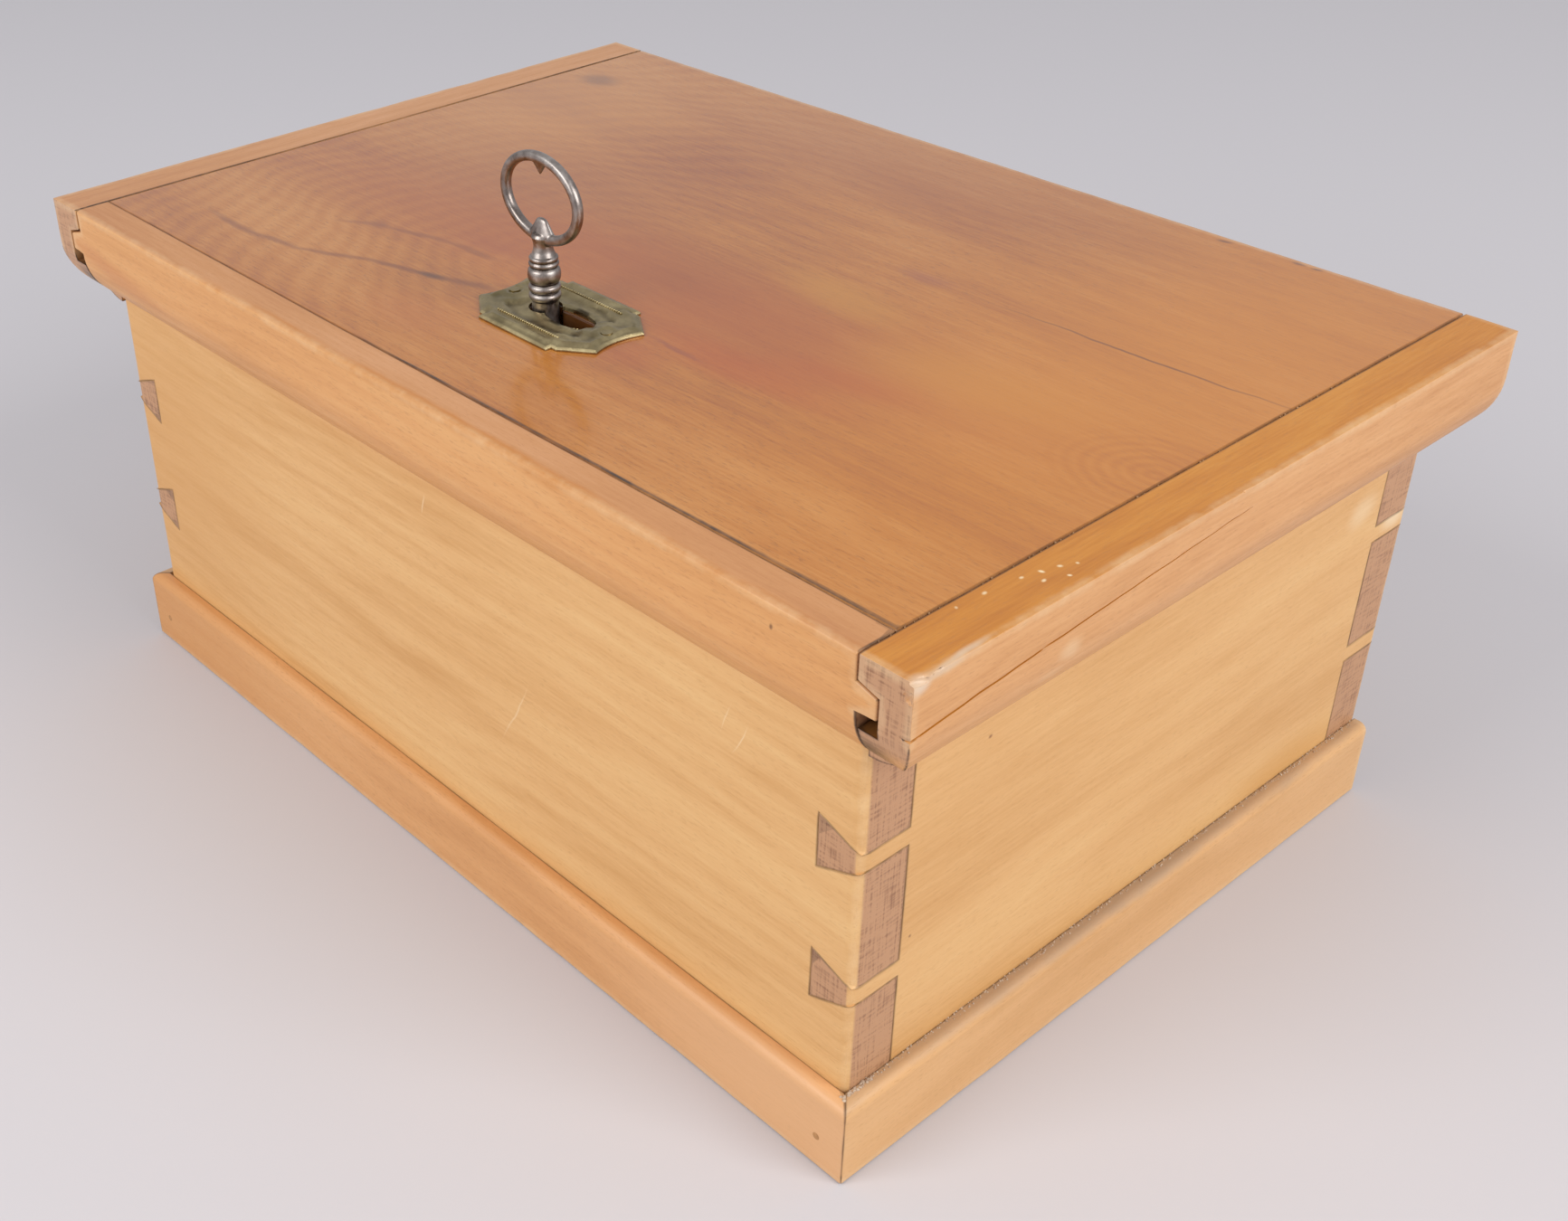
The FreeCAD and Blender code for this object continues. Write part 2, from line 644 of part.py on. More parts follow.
def bolt_spring():
    """A bent leaf spring from the end of the case to the bolt's inner edge."""
    wall = f"({KEY_X} + dims.case_right - dims.case_wall)"
    low = f"({KEY_Y} - dims.bolt_near + dims.run_gap)"
    high = f"({low} + dims.spring_rise)"
    knee = f"({wall} - dims.spring_thickness)"
    tip = f"({wall} - dims.spring_reach)"
    points = [
        (tip, low),
        (f"{tip} + dims.spring_thickness", low),
        (wall, f"{high} - dims.spring_thickness"),
        (wall, f"{high} + dims.spring_foot"),
        (knee, f"{high} + dims.spring_foot"),
        (knee, high),
        (tip, f"{low} + dims.spring_thickness"),
    ]
    body = new_body("bolt_spring")
    pad(body, outline(body, "spring_outline", "XY_Plane", points, BOLT_UNDER), "dims.spring_width")
    return body


def key_pin():
    """The pin in the lock that the hollow key turns on."""
    radius = "dims.bore_radius - dims.run_gap"
    length = "dims.bore_depth - dims.run_gap * 5"
    pin = rod("key_pin", radius, length, FreeCAD.Rotation(), (KEY_X, KEY_Y, CASE_FLOOR))
    pin.Label = "key_pin"
    return pin


def lock_screws():
    screws = []
    for index, (x, y) in enumerate(lock_screw_places()):
        at = (x, y, f"{PLATE_UNDER} - dims.screw_head_height")
        screws.append(headed_pin(f"lock_screw{index}", "dims.screw_shank", "dims.lock_screw_length",
                                 "dims.screw_head", "dims.screw_head_height",
                                 FreeCAD.Vector(0, 0, 1), at))
    return group("lock_screws", screws)


KEEPER_RIGHT = f"({KEY_X} - dims.case_left - dims.lug_gap)"
KEEPER_MIDDLE = f"({KEEPER_RIGHT} - dims.keeper_width / 2)"


def keeper_screw_heights():
    low = f"{FRONT_WALL_TOP} - dims.keeper_drop"
    return [f"({low} + dims.screw_head * {share})" for share in (1.5, 4.5)]


def lock_keeper():
    """An iron angle on the front wall: the thrown bolt stands behind its lug."""
    top = f"{FRONT_WALL_TOP} + dims.lug_rise"
    face = f"{INNER_FRONT} + dims.keeper_plate"
    points = [
        (INNER_FRONT, f"{FRONT_WALL_TOP} - dims.keeper_drop"),
        (face, f"{FRONT_WALL_TOP} - dims.keeper_drop"),
        (face, f"{top} - dims.lug_height"),
        (f"{BOLT_FRONT} - dims.lug_play", f"{top} - dims.lug_height"),
        (f"{BOLT_FRONT} - dims.lug_play", top),
        (INNER_FRONT, top),
    ]
    body = new_body("lock_keeper")
    sketch = outline(body, "keeper_profile", "YZ_Plane", points, f"{KEEPER_RIGHT} - dims.keeper_width")
    pad(body, sketch, "dims.keeper_width")
    radius = "(dims.screw_shank + dims.screw_clearance)"
    for index, height in enumerate(keeper_screw_heights()):
        points = circle_points(KEEPER_MIDDLE, height, radius)
        hole = outline(body, f"keeper_hole{index}", "XZ_Plane", points, f"-({face})")
        pocket(body, hole, "dims.keeper_plate", backwards=True)
    return body


def keeper_screws():
    screws = []
    y = f"{INNER_FRONT} + dims.keeper_plate + dims.screw_head_height"
    for index, height in enumerate(keeper_screw_heights()):
        screws.append(headed_pin(f"keeper_screw{index}", "dims.screw_shank", "dims.keeper_screw_length",
                                 "dims.screw_head", "dims.screw_head_height",
                                 FreeCAD.Vector(0, -1, 0), (KEEPER_MIDDLE, y, height)))
    return group("keeper_screws", screws)


def key():
    """A hollow key, modelled about its own axis with the lid's top at height 0."""
    foot = f"({BOLT_UNDER} - dims.lid_top + dims.run_gap)"
    collar = "dims.collar_lift"
    neck = f"({collar} + dims.collar_height)"
    bow = f"({neck} + dims.neck_height)"
    points = [
        ("dims.bore_radius", foot),
        ("dims.shank_radius", foot),
        ("dims.shank_radius", collar),
    ]
    points += bead_points(collar, "dims.collar_height")
    points += [
        ("dims.shank_radius", neck),
        ("dims.neck_radius", bow),
        ("0", bow),
        ("0", f"{foot} + dims.bore_depth"),
        ("dims.bore_radius", f"{foot} + dims.bore_depth"),
    ]
    body = new_body("key_shank")
    sketch = outline(body, "key_profile", "XZ_Plane", points)
    turned = body.newObject("PartDesign::Revolution", "key_turning")
    turned.Profile = sketch
    turned.ReferenceAxis = (sketch, ["V_Axis"])
    turned.Angle = 360
    bit = rectangle("dims.shank_radius * 0.8", "dims.bit_reach", foot, f"{foot} + dims.bit_height")
    sketch = outline(body, "key_bit", "XZ_Plane", bit, "-dims.bit_thickness / 2")
    pad(body, sketch, "dims.bit_thickness")
    pieces = [body, key_bow(bow)] + key_cusps(bow)
    whole = doc.addObject("Part::MultiFuse", "key")
    whole.Shapes = pieces
    whole.Label = "key"
    return place(whole, KEY_X, KEY_Y, "dims.lid_top")


def bead_points(low, height):
    """Turned collars: two rings, a bead and two thin rings, with grooves between them."""
    points = []
    start = 0
    for share in (0.19, 0.19, 0.38, 0.12, 0.12):
        for along, swell in ((0.08, 0.86), (0.35, 1), (0.65, 1), (0.92, 0.86)):
            place_up = f"{low} + {height} * {start + share * along:.4f}"
            points.append((f"dims.collar_radius * {swell}", place_up))
        start += share
    return points


def key_bow(bottom):
    """The oval ring: a round bar along an ellipse in the plane of the bit."""
    middle = f"{bottom} + dims.bow_height / 2 - dims.bow_bar"
    upright = FreeCAD.Rotation(FreeCAD.Vector(1, 0, 0), 90)
    path = doc.addObject("Part::Ellipse", "bow_path")
    path.setExpression("MajorRadius", "dims.bow_length / 2 - dims.bow_bar")
    path.setExpression("MinorRadius", "dims.bow_height / 2 - dims.bow_bar")
    path.Placement = FreeCAD.Placement(FreeCAD.Vector(), upright)
    place(path, "0", "0", middle)
    section = doc.addObject("Part::Circle", "bow_section")
    section.setExpression("Radius", "dims.bow_bar")
    place(section, "dims.bow_length / 2 - dims.bow_bar", "0", middle)
    ring = doc.addObject("Part::Sweep", "bow_ring")
    ring.Sections = [section]
    ring.Spine = (path, ["Edge1"])
    ring.Solid = True
    return ring


def key_cusps(bottom):
    """The two points inside the bow, at its top and bottom."""
    top = f"{bottom} + dims.bow_height - dims.bow_bar * 2"
    cusps = []
    for name, height, direction in (("low", bottom, 1), ("high", top, -1)):
        cone = doc.addObject("Part::Cone", f"cusp_{name}")
        cone.setExpression("Radius1", "dims.bow_bar * 1.2")
        cone.setExpression("Radius2", "dims.bow_bar * 0.3")
        cone.setExpression("Height", "dims.cusp_height")
        turn = FreeCAD.Rotation(FreeCAD.Vector(0, 0, 1), FreeCAD.Vector(0, 0, direction))
        cone.Placement = FreeCAD.Placement(FreeCAD.Vector(), turn)
        cusps.append(place(cone, "0", "0", height))
    return cusps


def row_places(low, high, inset, count):
    """Evenly spaced places between two ends, as expressions."""
    shares = [index / (count - 1) for index in range(count)]
    first = f"({low} + {inset})"
    last = f"({high} - {inset})"
    return [f"({first} + ({last} - {first}) * {share})" for share in shares]


def brad(name, length, direction, at):
    turn = FreeCAD.Rotation(FreeCAD.Vector(0, 0, 1), direction)
    return rod(name, "dims.brad_radius", length, turn, at)


def plinth_nails():
    """Brads from inside the walls into the base strips, and one at each end of the front strip."""
    height = "(dims.bottom_thickness + dims.plinth_height) / 2"
    brads = []
    for index, x in enumerate(row_places(f"-{WALL_X}", WALL_X, "dims.brad_inset", 4)):
        length = "dims.end_wall_thickness + dims.plinth_brad_bite"
        brads.append(brad(f"front_brad{index}", length, FreeCAD.Vector(0, -1, 0), (x, INNER_FRONT, height)))
    for index, y in enumerate(row_places(WALL_FRONT, BACK, "dims.brad_inset", 3)):
        length = "dims.side_wall_thickness + dims.plinth_brad_bite"
        for hand, x, direction in (("left", f"-{INNER_X}", -1), ("right", INNER_X, 1)):
            way = FreeCAD.Vector(direction, 0, 0)
            brads.append(brad(f"{hand}_brad{index}", length, way, (x, y, height)))
    for hand, sign in (("left", "-"), ("right", "")):
        at = (f"{sign}({WALL_X} - dims.end_brad_inset)", f"{WALL_FRONT} - dims.plinth_thickness",
              "dims.end_brad_height")
        brads.append(brad(f"{hand}_end_brad", "dims.end_brad_length", FreeCAD.Vector(0, 1, 0), at))
    return group("plinth_nails", brads)


def rail_nails():
    """Brads from inside the side walls into the rails."""
    height = f"{GROOVE_FLOOR} - dims.moulding_radius / 3"
    brads = []
    for index, y in enumerate(row_places(WALL_FRONT, BACK, "dims.brad_inset", 3)):
        for hand, x, direction in (("left", f"-{INNER_X}", -1), ("right", INNER_X, 1)):
            brads.append(brad(f"{hand}_rail_brad{index}", "dims.rail_brad_length",
                              FreeCAD.Vector(direction, 0, 0), (x, y, height)))
    return group("rail_nails", brads)


def bottom_nails():
    """Nails up through the bottom board into the walls, with their heads flush."""
    side = f"{WALL_X} - dims.side_wall_thickness / 2"
    places = []
    for x in (f"-({side})", side):
        places += [(x, y) for y in row_places(WALL_FRONT, BACK, "dims.nail_inset", 4)]
    for y in (f"{INNER_FRONT} - dims.end_wall_thickness / 2", f"{INNER_BACK} + dims.end_wall_thickness / 2"):
        places += [(x, y) for x in row_places(f"-{WALL_X}", WALL_X, "dims.nail_inset", 4)]
    nails = []
    for index, (x, y) in enumerate(places):
        nails.append(headed_pin(f"bottom_nail{index}", "dims.nail_radius", "dims.nail_length",
                                "dims.nail_head", "dims.nail_head_height",
                                FreeCAD.Vector(0, 0, 1), (x, y, "0")))
    return group("bottom_nails", nails)


def build():
    front = tail_board("front_wall", FRONT_WALL_TOP, WALL_FRONT, INNER_FRONT)
    back = tail_board("back_wall", LID_UNDER, BACK, INNER_BACK)
    side = pin_board("right_wall", (front, back))
    plinth = right_plinth()
    rail = right_rail()
    bottom_low = (f"-{WALL_X}", WALL_FRONT, "0")
    bottom = box("bottom_board", bottom_low, (WALL_X, BACK, "dims.bottom_thickness"))
    return [
        front,
        back,
        side,
        mirrored(side, "left_wall"),
        bottom,
        front_plinth(),
        plinth,
        mirrored(plinth, "left_plinth"),
        rail,
        mirrored(rail, "left_rail"),
        lid_panel(),
        lid_front_strip(),
        escutcheon(),
        escutcheon_pins(),
        lock_plate(),
        lock_case(),
        lock_bolt(),
        bolt_stud(),
        bolt_spring(),
        key_pin(),
        lock_screws(),
        lock_keeper(),
        keeper_screws(),
        key(),
        plinth_nails(),
        rail_nails(),
        bottom_nails(),
    ]


def export(pieces):
    """Check every object and every piece, then write one file for each piece."""
    doc.recompute()
    for item in doc.Objects:
        if "Invalid" in item.State or "Error" in item.State:
            raise RuntimeError(f"{item.Name} failed: {item.State}")
    for piece in pieces:
        if piece.Shape.isNull() or not piece.Shape.isValid() or not piece.Shape.Solids:
            raise RuntimeError(f"{piece.Label} has no valid solid")
    os.makedirs("parts", exist_ok=True)
    for piece in pieces:
        piece.Shape.exportStep(f"parts/{piece.Label}.step")
        print(piece.Label, len(piece.Shape.Solids), round(piece.Shape.Volume, 1))


export(build())
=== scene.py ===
"""Looks of the wooden money box: worn fruitwood boards, a tarnished brass plate and an old key."""

import bmesh
import bpy
import math
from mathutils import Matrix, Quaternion, Vector, kdtree, noise


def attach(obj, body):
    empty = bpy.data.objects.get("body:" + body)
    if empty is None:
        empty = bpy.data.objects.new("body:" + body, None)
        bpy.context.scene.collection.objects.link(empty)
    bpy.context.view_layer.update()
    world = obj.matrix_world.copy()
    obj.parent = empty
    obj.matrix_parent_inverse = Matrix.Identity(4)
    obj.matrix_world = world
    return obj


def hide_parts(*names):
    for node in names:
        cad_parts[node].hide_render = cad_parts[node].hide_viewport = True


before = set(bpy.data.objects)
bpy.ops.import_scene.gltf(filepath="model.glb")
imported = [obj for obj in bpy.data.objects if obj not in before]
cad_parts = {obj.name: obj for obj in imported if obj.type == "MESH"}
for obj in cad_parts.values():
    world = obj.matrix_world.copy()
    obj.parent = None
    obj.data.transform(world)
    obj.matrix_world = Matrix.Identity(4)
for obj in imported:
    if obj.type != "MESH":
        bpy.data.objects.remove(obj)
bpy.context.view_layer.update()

MM = 0.001
PHOTO_WIDTH = 1733

# Sizes in millimetres that the pieces below share with the solids.
HALF_LENGTH = 150
FRONT = -98.5
BACK = 98.5
WALL_X = 135
WALL_FRONT = -91
PLINTH_X = 139
PLINTH_FRONT = -95
RAIL_INNER = 137.7
STRIP_BACK = -89
TONGUE_X = 138
TONGUE_TOP = 133
LID_TOP = 134
KEY_X = -5
KEY_Y = -49

# Wear on a board counts from its edges up to this many mm.
REACH = 12.0
# Edges without a rule of their own get this radius in mm.
PLAIN_ROUNDING = 0.25
# Edges that bend by more than this many degrees are rounded.
SHARP = 25
# Faces that meet at more than this many degrees keep a crease between them.
CREASE = 35
# Vertices closer than this many mm are merged.
MERGE = 0.002
# The scale of a wave texture whose rings are 1 mm apart.
WAVE_MM = 0.314
# Where the pale, middle and deep tones of a board sit on its ramp.
TONE_STOPS = (0.25, 0.5, 0.75)
RUBBED = "#e8c79a"
DIRT = "#311c0e"


def linear(colour):
    """A hex sRGB colour as linear RGBA."""
    channels = [int(colour[i:i + 2], 16) / 255 for i in (1, 3, 5)]
    return [c / 12.92 if c <= 0.04045 else ((c + 0.055) / 1.055) ** 2.4 for c in channels] + [1]


def add(tree, kind, inputs=None, stops=None, **settings):
    """Add a node with its settings; an input takes a number, a hex colour or a socket to link."""
    made = tree.nodes.new(kind)
    for name, setting in settings.items():
        setattr(made, name, setting)
    for name, given in (inputs or {}).items():
        socket = made.inputs[name]
        if isinstance(given, bpy.types.NodeSocket):
            tree.links.new(given, socket)
        else:
            socket.default_value = linear(given) if isinstance(given, str) else given
    if stops:
        elements = made.color_ramp.elements
        while len(elements) < len(stops):
            elements.new(0.5)
        for element, (place, colour) in zip(elements, stops):
            element.position = place
            element.color = linear(colour)
    return made


def new_material(name):
    material = bpy.data.materials.new(name)
    material.use_nodes = True
    material.node_tree.nodes.clear()
    return material, material.node_tree


# Fruitwood
def with_marks(tree, colour, place, marks):
    """Lay soft marks over a colour; each has a centre and radii in mm, a turn in degrees and a tint."""
    for centre, radii, turn, tint, strength in marks:
        turned = [math.radians(angle) for angle in turn]
        spot = add(tree, "ShaderNodeMapping", {
            "Vector": place, "Location": centre, "Scale": radii, "Rotation": turned,
        }, vector_type="TEXTURE")
        far = add(tree, "ShaderNodeVectorMath", {0: spot.outputs[0]}, operation="LENGTH")
        mask = add(tree, "ShaderNodeMapRange", {
            "Value": far.outputs["Value"], "From Min": 1.0, "From Max": 0.15, "To Max": strength,
        }, interpolation_type="SMOOTHSTEP")
        laid = add(tree, "ShaderNodeMix", {0: mask.outputs[0], 6: colour, 7: tint}, data_type="RGBA")
        colour = laid.outputs[2]
    return colour


def fruitwood(name, along, tones, figure, gloss, offset, top=None, marks=(), grime=0.7, coat=0.0, swirl=None,
              knot=None):
    """Planed fruitwood under an old oil finish: soft growth rings, fine fibres and short pores.

    along is the axis of the fibres; tones run from pale to deep, then pores; figure holds the ring
    centre across the board and the widths of rings and patches in mm, and the strengths of patches,
    rings and fibres. top tints the upper face and coat glosses it; swirl says where along the board the
    rings begin and end to dive and how deep, and knot is the place of a small branch.
    """
    pith_y, pith_z, ring, patch, patchy, ringed, fibrous = figure
    rest = 0.5 - 0.5 * (patchy + ringed + fibrous)
    material, tree = new_material(name)
    place = add(tree, "ShaderNodeTexCoord")
    spot = add(tree, "ShaderNodeVectorMath", {0: place.outputs["Object"], 3: 1 / MM}, operation="SCALE")
    spot = spot.outputs[0]
    turn = {"X": (0, 0, 0), "Y": (0, 0, -math.pi / 2)}[along]
    board = add(tree, "ShaderNodeMapping", {"Vector": spot, "Rotation": turn, "Location": offset})
    board = board.outputs[0]

    # The rings wander along the board: waves about 160 mm long and 40 mm across.
    slow = add(tree, "ShaderNodeVectorMath", {0: board, 1: (0.006, 0.024, 0.024)}, operation="MULTIPLY")
    drift = add(tree, "ShaderNodeTexNoise", {"Vector": slow.outputs[0], "Scale": 1.0, "Detail": 2.0})
    swing = add(tree, "ShaderNodeVectorMath", {
        0: drift.outputs["Color"], 1: (0, 30, 30), 2: (0, pith_y - 15, pith_z - 15),
    }, operation="MULTIPLY_ADD")
    bent = add(tree, "ShaderNodeVectorMath", {0: board, 1: swing.outputs[0]}, operation="ADD")
    if swirl:
        # Towards one end the pith dives away, which bends the rings into nested arcs and shows them more.
        begin, end, depth = swirl
        run = add(tree, "ShaderNodeSeparateXYZ", {0: board})
        dive = add(tree, "ShaderNodeMapRange", {
            "Value": run.outputs["X"], "From Min": begin, "From Max": end,
        })
        down = add(tree, "ShaderNodeVectorMath", {0: (0, 0, depth), 3: dive.outputs[0]}, operation="SCALE")
        bent = add(tree, "ShaderNodeVectorMath", {0: bent.outputs[0], 1: down.outputs[0]}, operation="ADD")
        ringed = add(tree, "ShaderNodeMapRange", {
            "Value": dive.outputs[0], "From Max": 0.3, "To Min": ringed, "To Max": ringed + 0.04,
        }).outputs[0]
    rings = add(tree, "ShaderNodeTexWave", {
        "Vector": bent.outputs[0], "Scale": WAVE_MM / ring, "Distortion": 1.2, "Detail": 3.0,
        "Detail Scale": 0.5, "Detail Roughness": 0.6,
    }, wave_type="RINGS", rings_direction="X", wave_profile="SIN")

    # Fibres about 0.6 mm wide and pores 0.3 mm wide, several millimetres long.
    long_way = add(tree, "ShaderNodeVectorMath", {0: board, 1: (0.08, 1.3, 1.3)}, operation="MULTIPLY")
    fibres = add(tree, "ShaderNodeTexNoise", {
        "Vector": long_way.outputs[0], "Scale": 1.0, "Detail": 5.0, "Roughness": 0.6,
    })
    short_way = add(tree, "ShaderNodeVectorMath", {0: board, 1: (0.5, 3.2, 3.2)}, operation="MULTIPLY")
    pores = add(tree, "ShaderNodeTexNoise", {"Vector": short_way.outputs[0], "Scale": 1.0, "Detail": 2.0})
    pore_mask = add(tree, "ShaderNodeMapRange", {
        "Value": pores.outputs[0], "From Min": 0.56, "From Max": 0.72, "To Max": 0.34,
    })

    # Broad tone: patches about 120 mm long, with the rings and fibres laid over them.
    broad_way = add(tree, "ShaderNodeVectorMath", {
        0: board, 1: (0.008, 1 / patch, 1 / patch),
    }, operation="MULTIPLY")
    broad = add(tree, "ShaderNodeTexNoise", {"Vector": broad_way.outputs[0], "Scale": 1.0, "Detail": 3.0})
    tone = add(tree, "ShaderNodeMath", {0: broad.outputs[0], 1: patchy, 2: rest}, operation="MULTIPLY_ADD")
    tone = add(tree, "ShaderNodeMath", {0: rings.outputs["Fac"], 1: ringed, 2: tone.outputs[0]},
               operation="MULTIPLY_ADD")
    tone = add(tree, "ShaderNodeMath", {0: fibres.outputs[0], 1: fibrous, 2: tone.outputs[0]},
               operation="MULTIPLY_ADD").outputs[0]
    if knot:
        # Fine rings, 2.6 mm apart, round the place where a small branch grew; they fade out by 20 mm.
        bud = add(tree, "ShaderNodeMapping", {
            "Vector": spot, "Location": knot, "Scale": (1.25, 1, 1),
        }, vector_type="TEXTURE").outputs[0]
        eye = add(tree, "ShaderNodeTexWave", {
            "Vector": bud, "Scale": WAVE_MM / 2.6, "Distortion": 4.0, "Detail": 2.0, "Detail Scale": 0.4,
        }, wave_type="RINGS", rings_direction="Z")
        reach = add(tree, "ShaderNodeVectorMath", {0: bud}, operation="LENGTH")
        share = add(tree, "ShaderNodeMapRange", {
            "Value": reach.outputs["Value"], "From Min": 20, "From Max": 12, "To Max": 0.16,
        })
        tone = add(tree, "ShaderNodeMath", {0: eye.outputs["Fac"], 1: share.outputs[0], 2: tone},
                   operation="MULTIPLY_ADD").outputs[0]
    colour = add(tree, "ShaderNodeValToRGB", {"Fac": tone}, stops=list(zip(TONE_STOPS, tones))).outputs[0]
    facing = add(tree, "ShaderNodeSeparateXYZ", {0: place.outputs["Normal"]})
    if top:
        # The upper face has drunk more finish and light.
        upper = add(tree, "ShaderNodeValToRGB", {"Fac": tone}, stops=list(zip(TONE_STOPS, top)))
        is_top = add(tree, "ShaderNodeMapRange", {
            "Value": facing.outputs["Z"], "From Min": 0.55, "From Max": 0.8,
        })
        colour = add(tree, "ShaderNodeMix", {0: is_top.outputs[0], 6: colour, 7: upper.outputs[0]},
                     data_type="RGBA").outputs[2]
    colour = add(tree, "ShaderNodeMix", {0: pore_mask.outputs[0], 6: colour, 7: tones[3]},
                 data_type="RGBA").outputs[2]

    # Stains, streaks, scratches, painted shade and painted highlights keep to places on the board, with
    # slightly wandering outlines.
    wander = add(tree, "ShaderNodeTexNoise", {"Vector": spot, "Scale": 0.05, "Detail": 3.0})
    loose = add(tree, "ShaderNodeVectorMath", {0: wander.outputs["Color"], 1: (4, 4, 4), 2: spot},
                operation="MULTIPLY_ADD")
    centred = add(tree, "ShaderNodeVectorMath", {0: loose.outputs[0], 1: (-2, -2, -2)}, operation="ADD")
    colour = with_marks(tree, colour, centred.outputs[0], marks)

    # End grain drinks more finish: a dull pinkish brown with fine crossed saw and plane marks.
    across = add(tree, "ShaderNodeMath", {0: facing.outputs[along]}, operation="ABSOLUTE")
    is_end = add(tree, "ShaderNodeMapRange", {
        "Value": across.outputs[0], "From Min": 0.86, "From Max": 0.97,
    })
    saw_way = add(tree, "ShaderNodeVectorMath", {0: board, 1: (0.02, 0.16, 1.5)}, operation="MULTIPLY")
    saw = add(tree, "ShaderNodeTexNoise", {"Vector": saw_way.outputs[0], "Scale": 1.0, "Detail": 3.0})
    plane_way = add(tree, "ShaderNodeVectorMath", {0: board, 1: (0.02, 1.9, 0.1)}, operation="MULTIPLY")
    plane = add(tree, "ShaderNodeTexNoise", {"Vector": plane_way.outputs[0], "Scale": 1.0, "Detail": 2.0})
    crossed = add(tree, "ShaderNodeMath", {0: saw.outputs[0], 1: plane.outputs[0]}, operation="ADD")
    end_colour = add(tree, "ShaderNodeValToRGB", {"Fac": crossed.outputs[0]}, stops=[
        (0.72, END_TONES[0]), (1.0, END_TONES[1]),
    ])
    colour = add(tree, "ShaderNodeMix", {0: is_end.outputs[0], 6: colour, 7: end_colour.outputs[0]},
                 data_type="RGBA").outputs[2]

    # Handled arrises are rubbed pale and seams hold dirt; both attributes count down from REACH at an edge.
    arris = add(tree, "ShaderNodeAttribute", attribute_name="arris_near")
    rub_patch = add(tree, "ShaderNodeTexNoise", {
        "Vector": board, "Scale": 0.14, "Detail": 4.0, "Roughness": 0.7,
    })
    rub = add(tree, "ShaderNodeMapRange", {
        "Value": arris.outputs["Fac"], "From Min": 9.0, "From Max": 11.0,
    })
    rub = add(tree, "ShaderNodeMath", {0: rub.outputs[0], 1: rub_patch.outputs[0]}, operation="MULTIPLY")
    rub = add(tree, "ShaderNodeMapRange", {
        "Value": rub.outputs[0], "From Min": 0.25, "From Max": 0.75, "To Max": 0.45,
    })
    colour = add(tree, "ShaderNodeMix", {0: rub.outputs[0], 6: colour, 7: RUBBED}, data_type="RGBA")
    colour = colour.outputs[2]
    seam = add(tree, "ShaderNodeAttribute", attribute_name="seam_near")
    dirt = add(tree, "ShaderNodeMapRange", {
        "Value": seam.outputs["Fac"], "From Min": 11.5, "From Max": 11.88, "To Max": grime,
    })
    dirt_patch = add(tree, "ShaderNodeMapRange", {
        "Value": rub_patch.outputs[0], "From Min": 0.35, "From Max": 0.6, "To Min": 0.7,
    })
    dirt = add(tree, "ShaderNodeMath", {0: dirt.outputs[0], 1: dirt_patch.outputs[0]}, operation="MULTIPLY")
    colour = add(tree, "ShaderNodeMix", {0: dirt.outputs[0], 6: colour, 7: DIRT}, data_type="RGBA")
    colour = colour.outputs[2]

    # The shine varies with the fibres, and the pores are shallow pits.
    sheen = add(tree, "ShaderNodeMapRange", {
        "Value": fibres.outputs[0], "From Min": 0.3, "From Max": 0.7, "To Min": gloss - 0.04,
        "To Max": gloss + 0.06,
    })
    height = add(tree, "ShaderNodeMath", {0: pore_mask.outputs[0], 1: -3.0, 2: fibres.outputs[0]},
                 operation="MULTIPLY_ADD")
    bump = add(tree, "ShaderNodeBump", {"Height": height.outputs[0], "Strength": 0.2, "Distance": 0.00005})
    shader = add(tree, "ShaderNodeBsdfPrincipled", {
        "Base Color": colour, "Roughness": sheen.outputs[0], "Normal": bump.outputs[0], "IOR": 1.5,
        "Coat Weight": coat, "Coat Roughness": 0.1,
    })
    add(tree, "ShaderNodeOutputMaterial", {"Surface": shader.outputs[0]})
    return material


def worked_metal(name, tones, rough, patch):
    """Old worked metal: rubbed bright and tarnished dark in patches a few mm wide, dirty in its hollows."""
    material, tree = new_material(name)
    place = add(tree, "ShaderNodeTexCoord")
    spot = add(tree, "ShaderNodeTexNoise", {
        "Vector": place.outputs["Object"], "Scale": 1 / (patch * MM), "Detail": 6.0, "Roughness": 0.65,
    })
    colour = add(tree, "ShaderNodeValToRGB", {
        "Fac": spot.outputs[0],
    }, stops=list(zip((0.34, 0.5, 0.66), tones)))
    hollow = add(tree, "ShaderNodeAttribute", attribute_name="hollow")
    colour = add(tree, "ShaderNodeMix", {0: hollow.outputs["Fac"], 6: colour.outputs[0], 7: tones[3]},
                 data_type="RGBA")
    dull = add(tree, "ShaderNodeMapRange", {
        "Value": spot.outputs[0], "From Min": 0.35, "From Max": 0.65, "To Min": rough - 0.08,
        "To Max": rough + 0.12,
    })
    bump = add(tree, "ShaderNodeBump", {"Height": spot.outputs[0], "Strength": 0.3, "Distance": 0.00006})
    shader = add(tree, "ShaderNodeBsdfPrincipled", {
        "Base Color": colour.outputs[2], "Metallic": 1.0, "Roughness": dull.outputs[0],
        "Normal": bump.outputs[0],
    })
    add(tree, "ShaderNodeOutputMaterial", {"Surface": shader.outputs[0]})
    return material


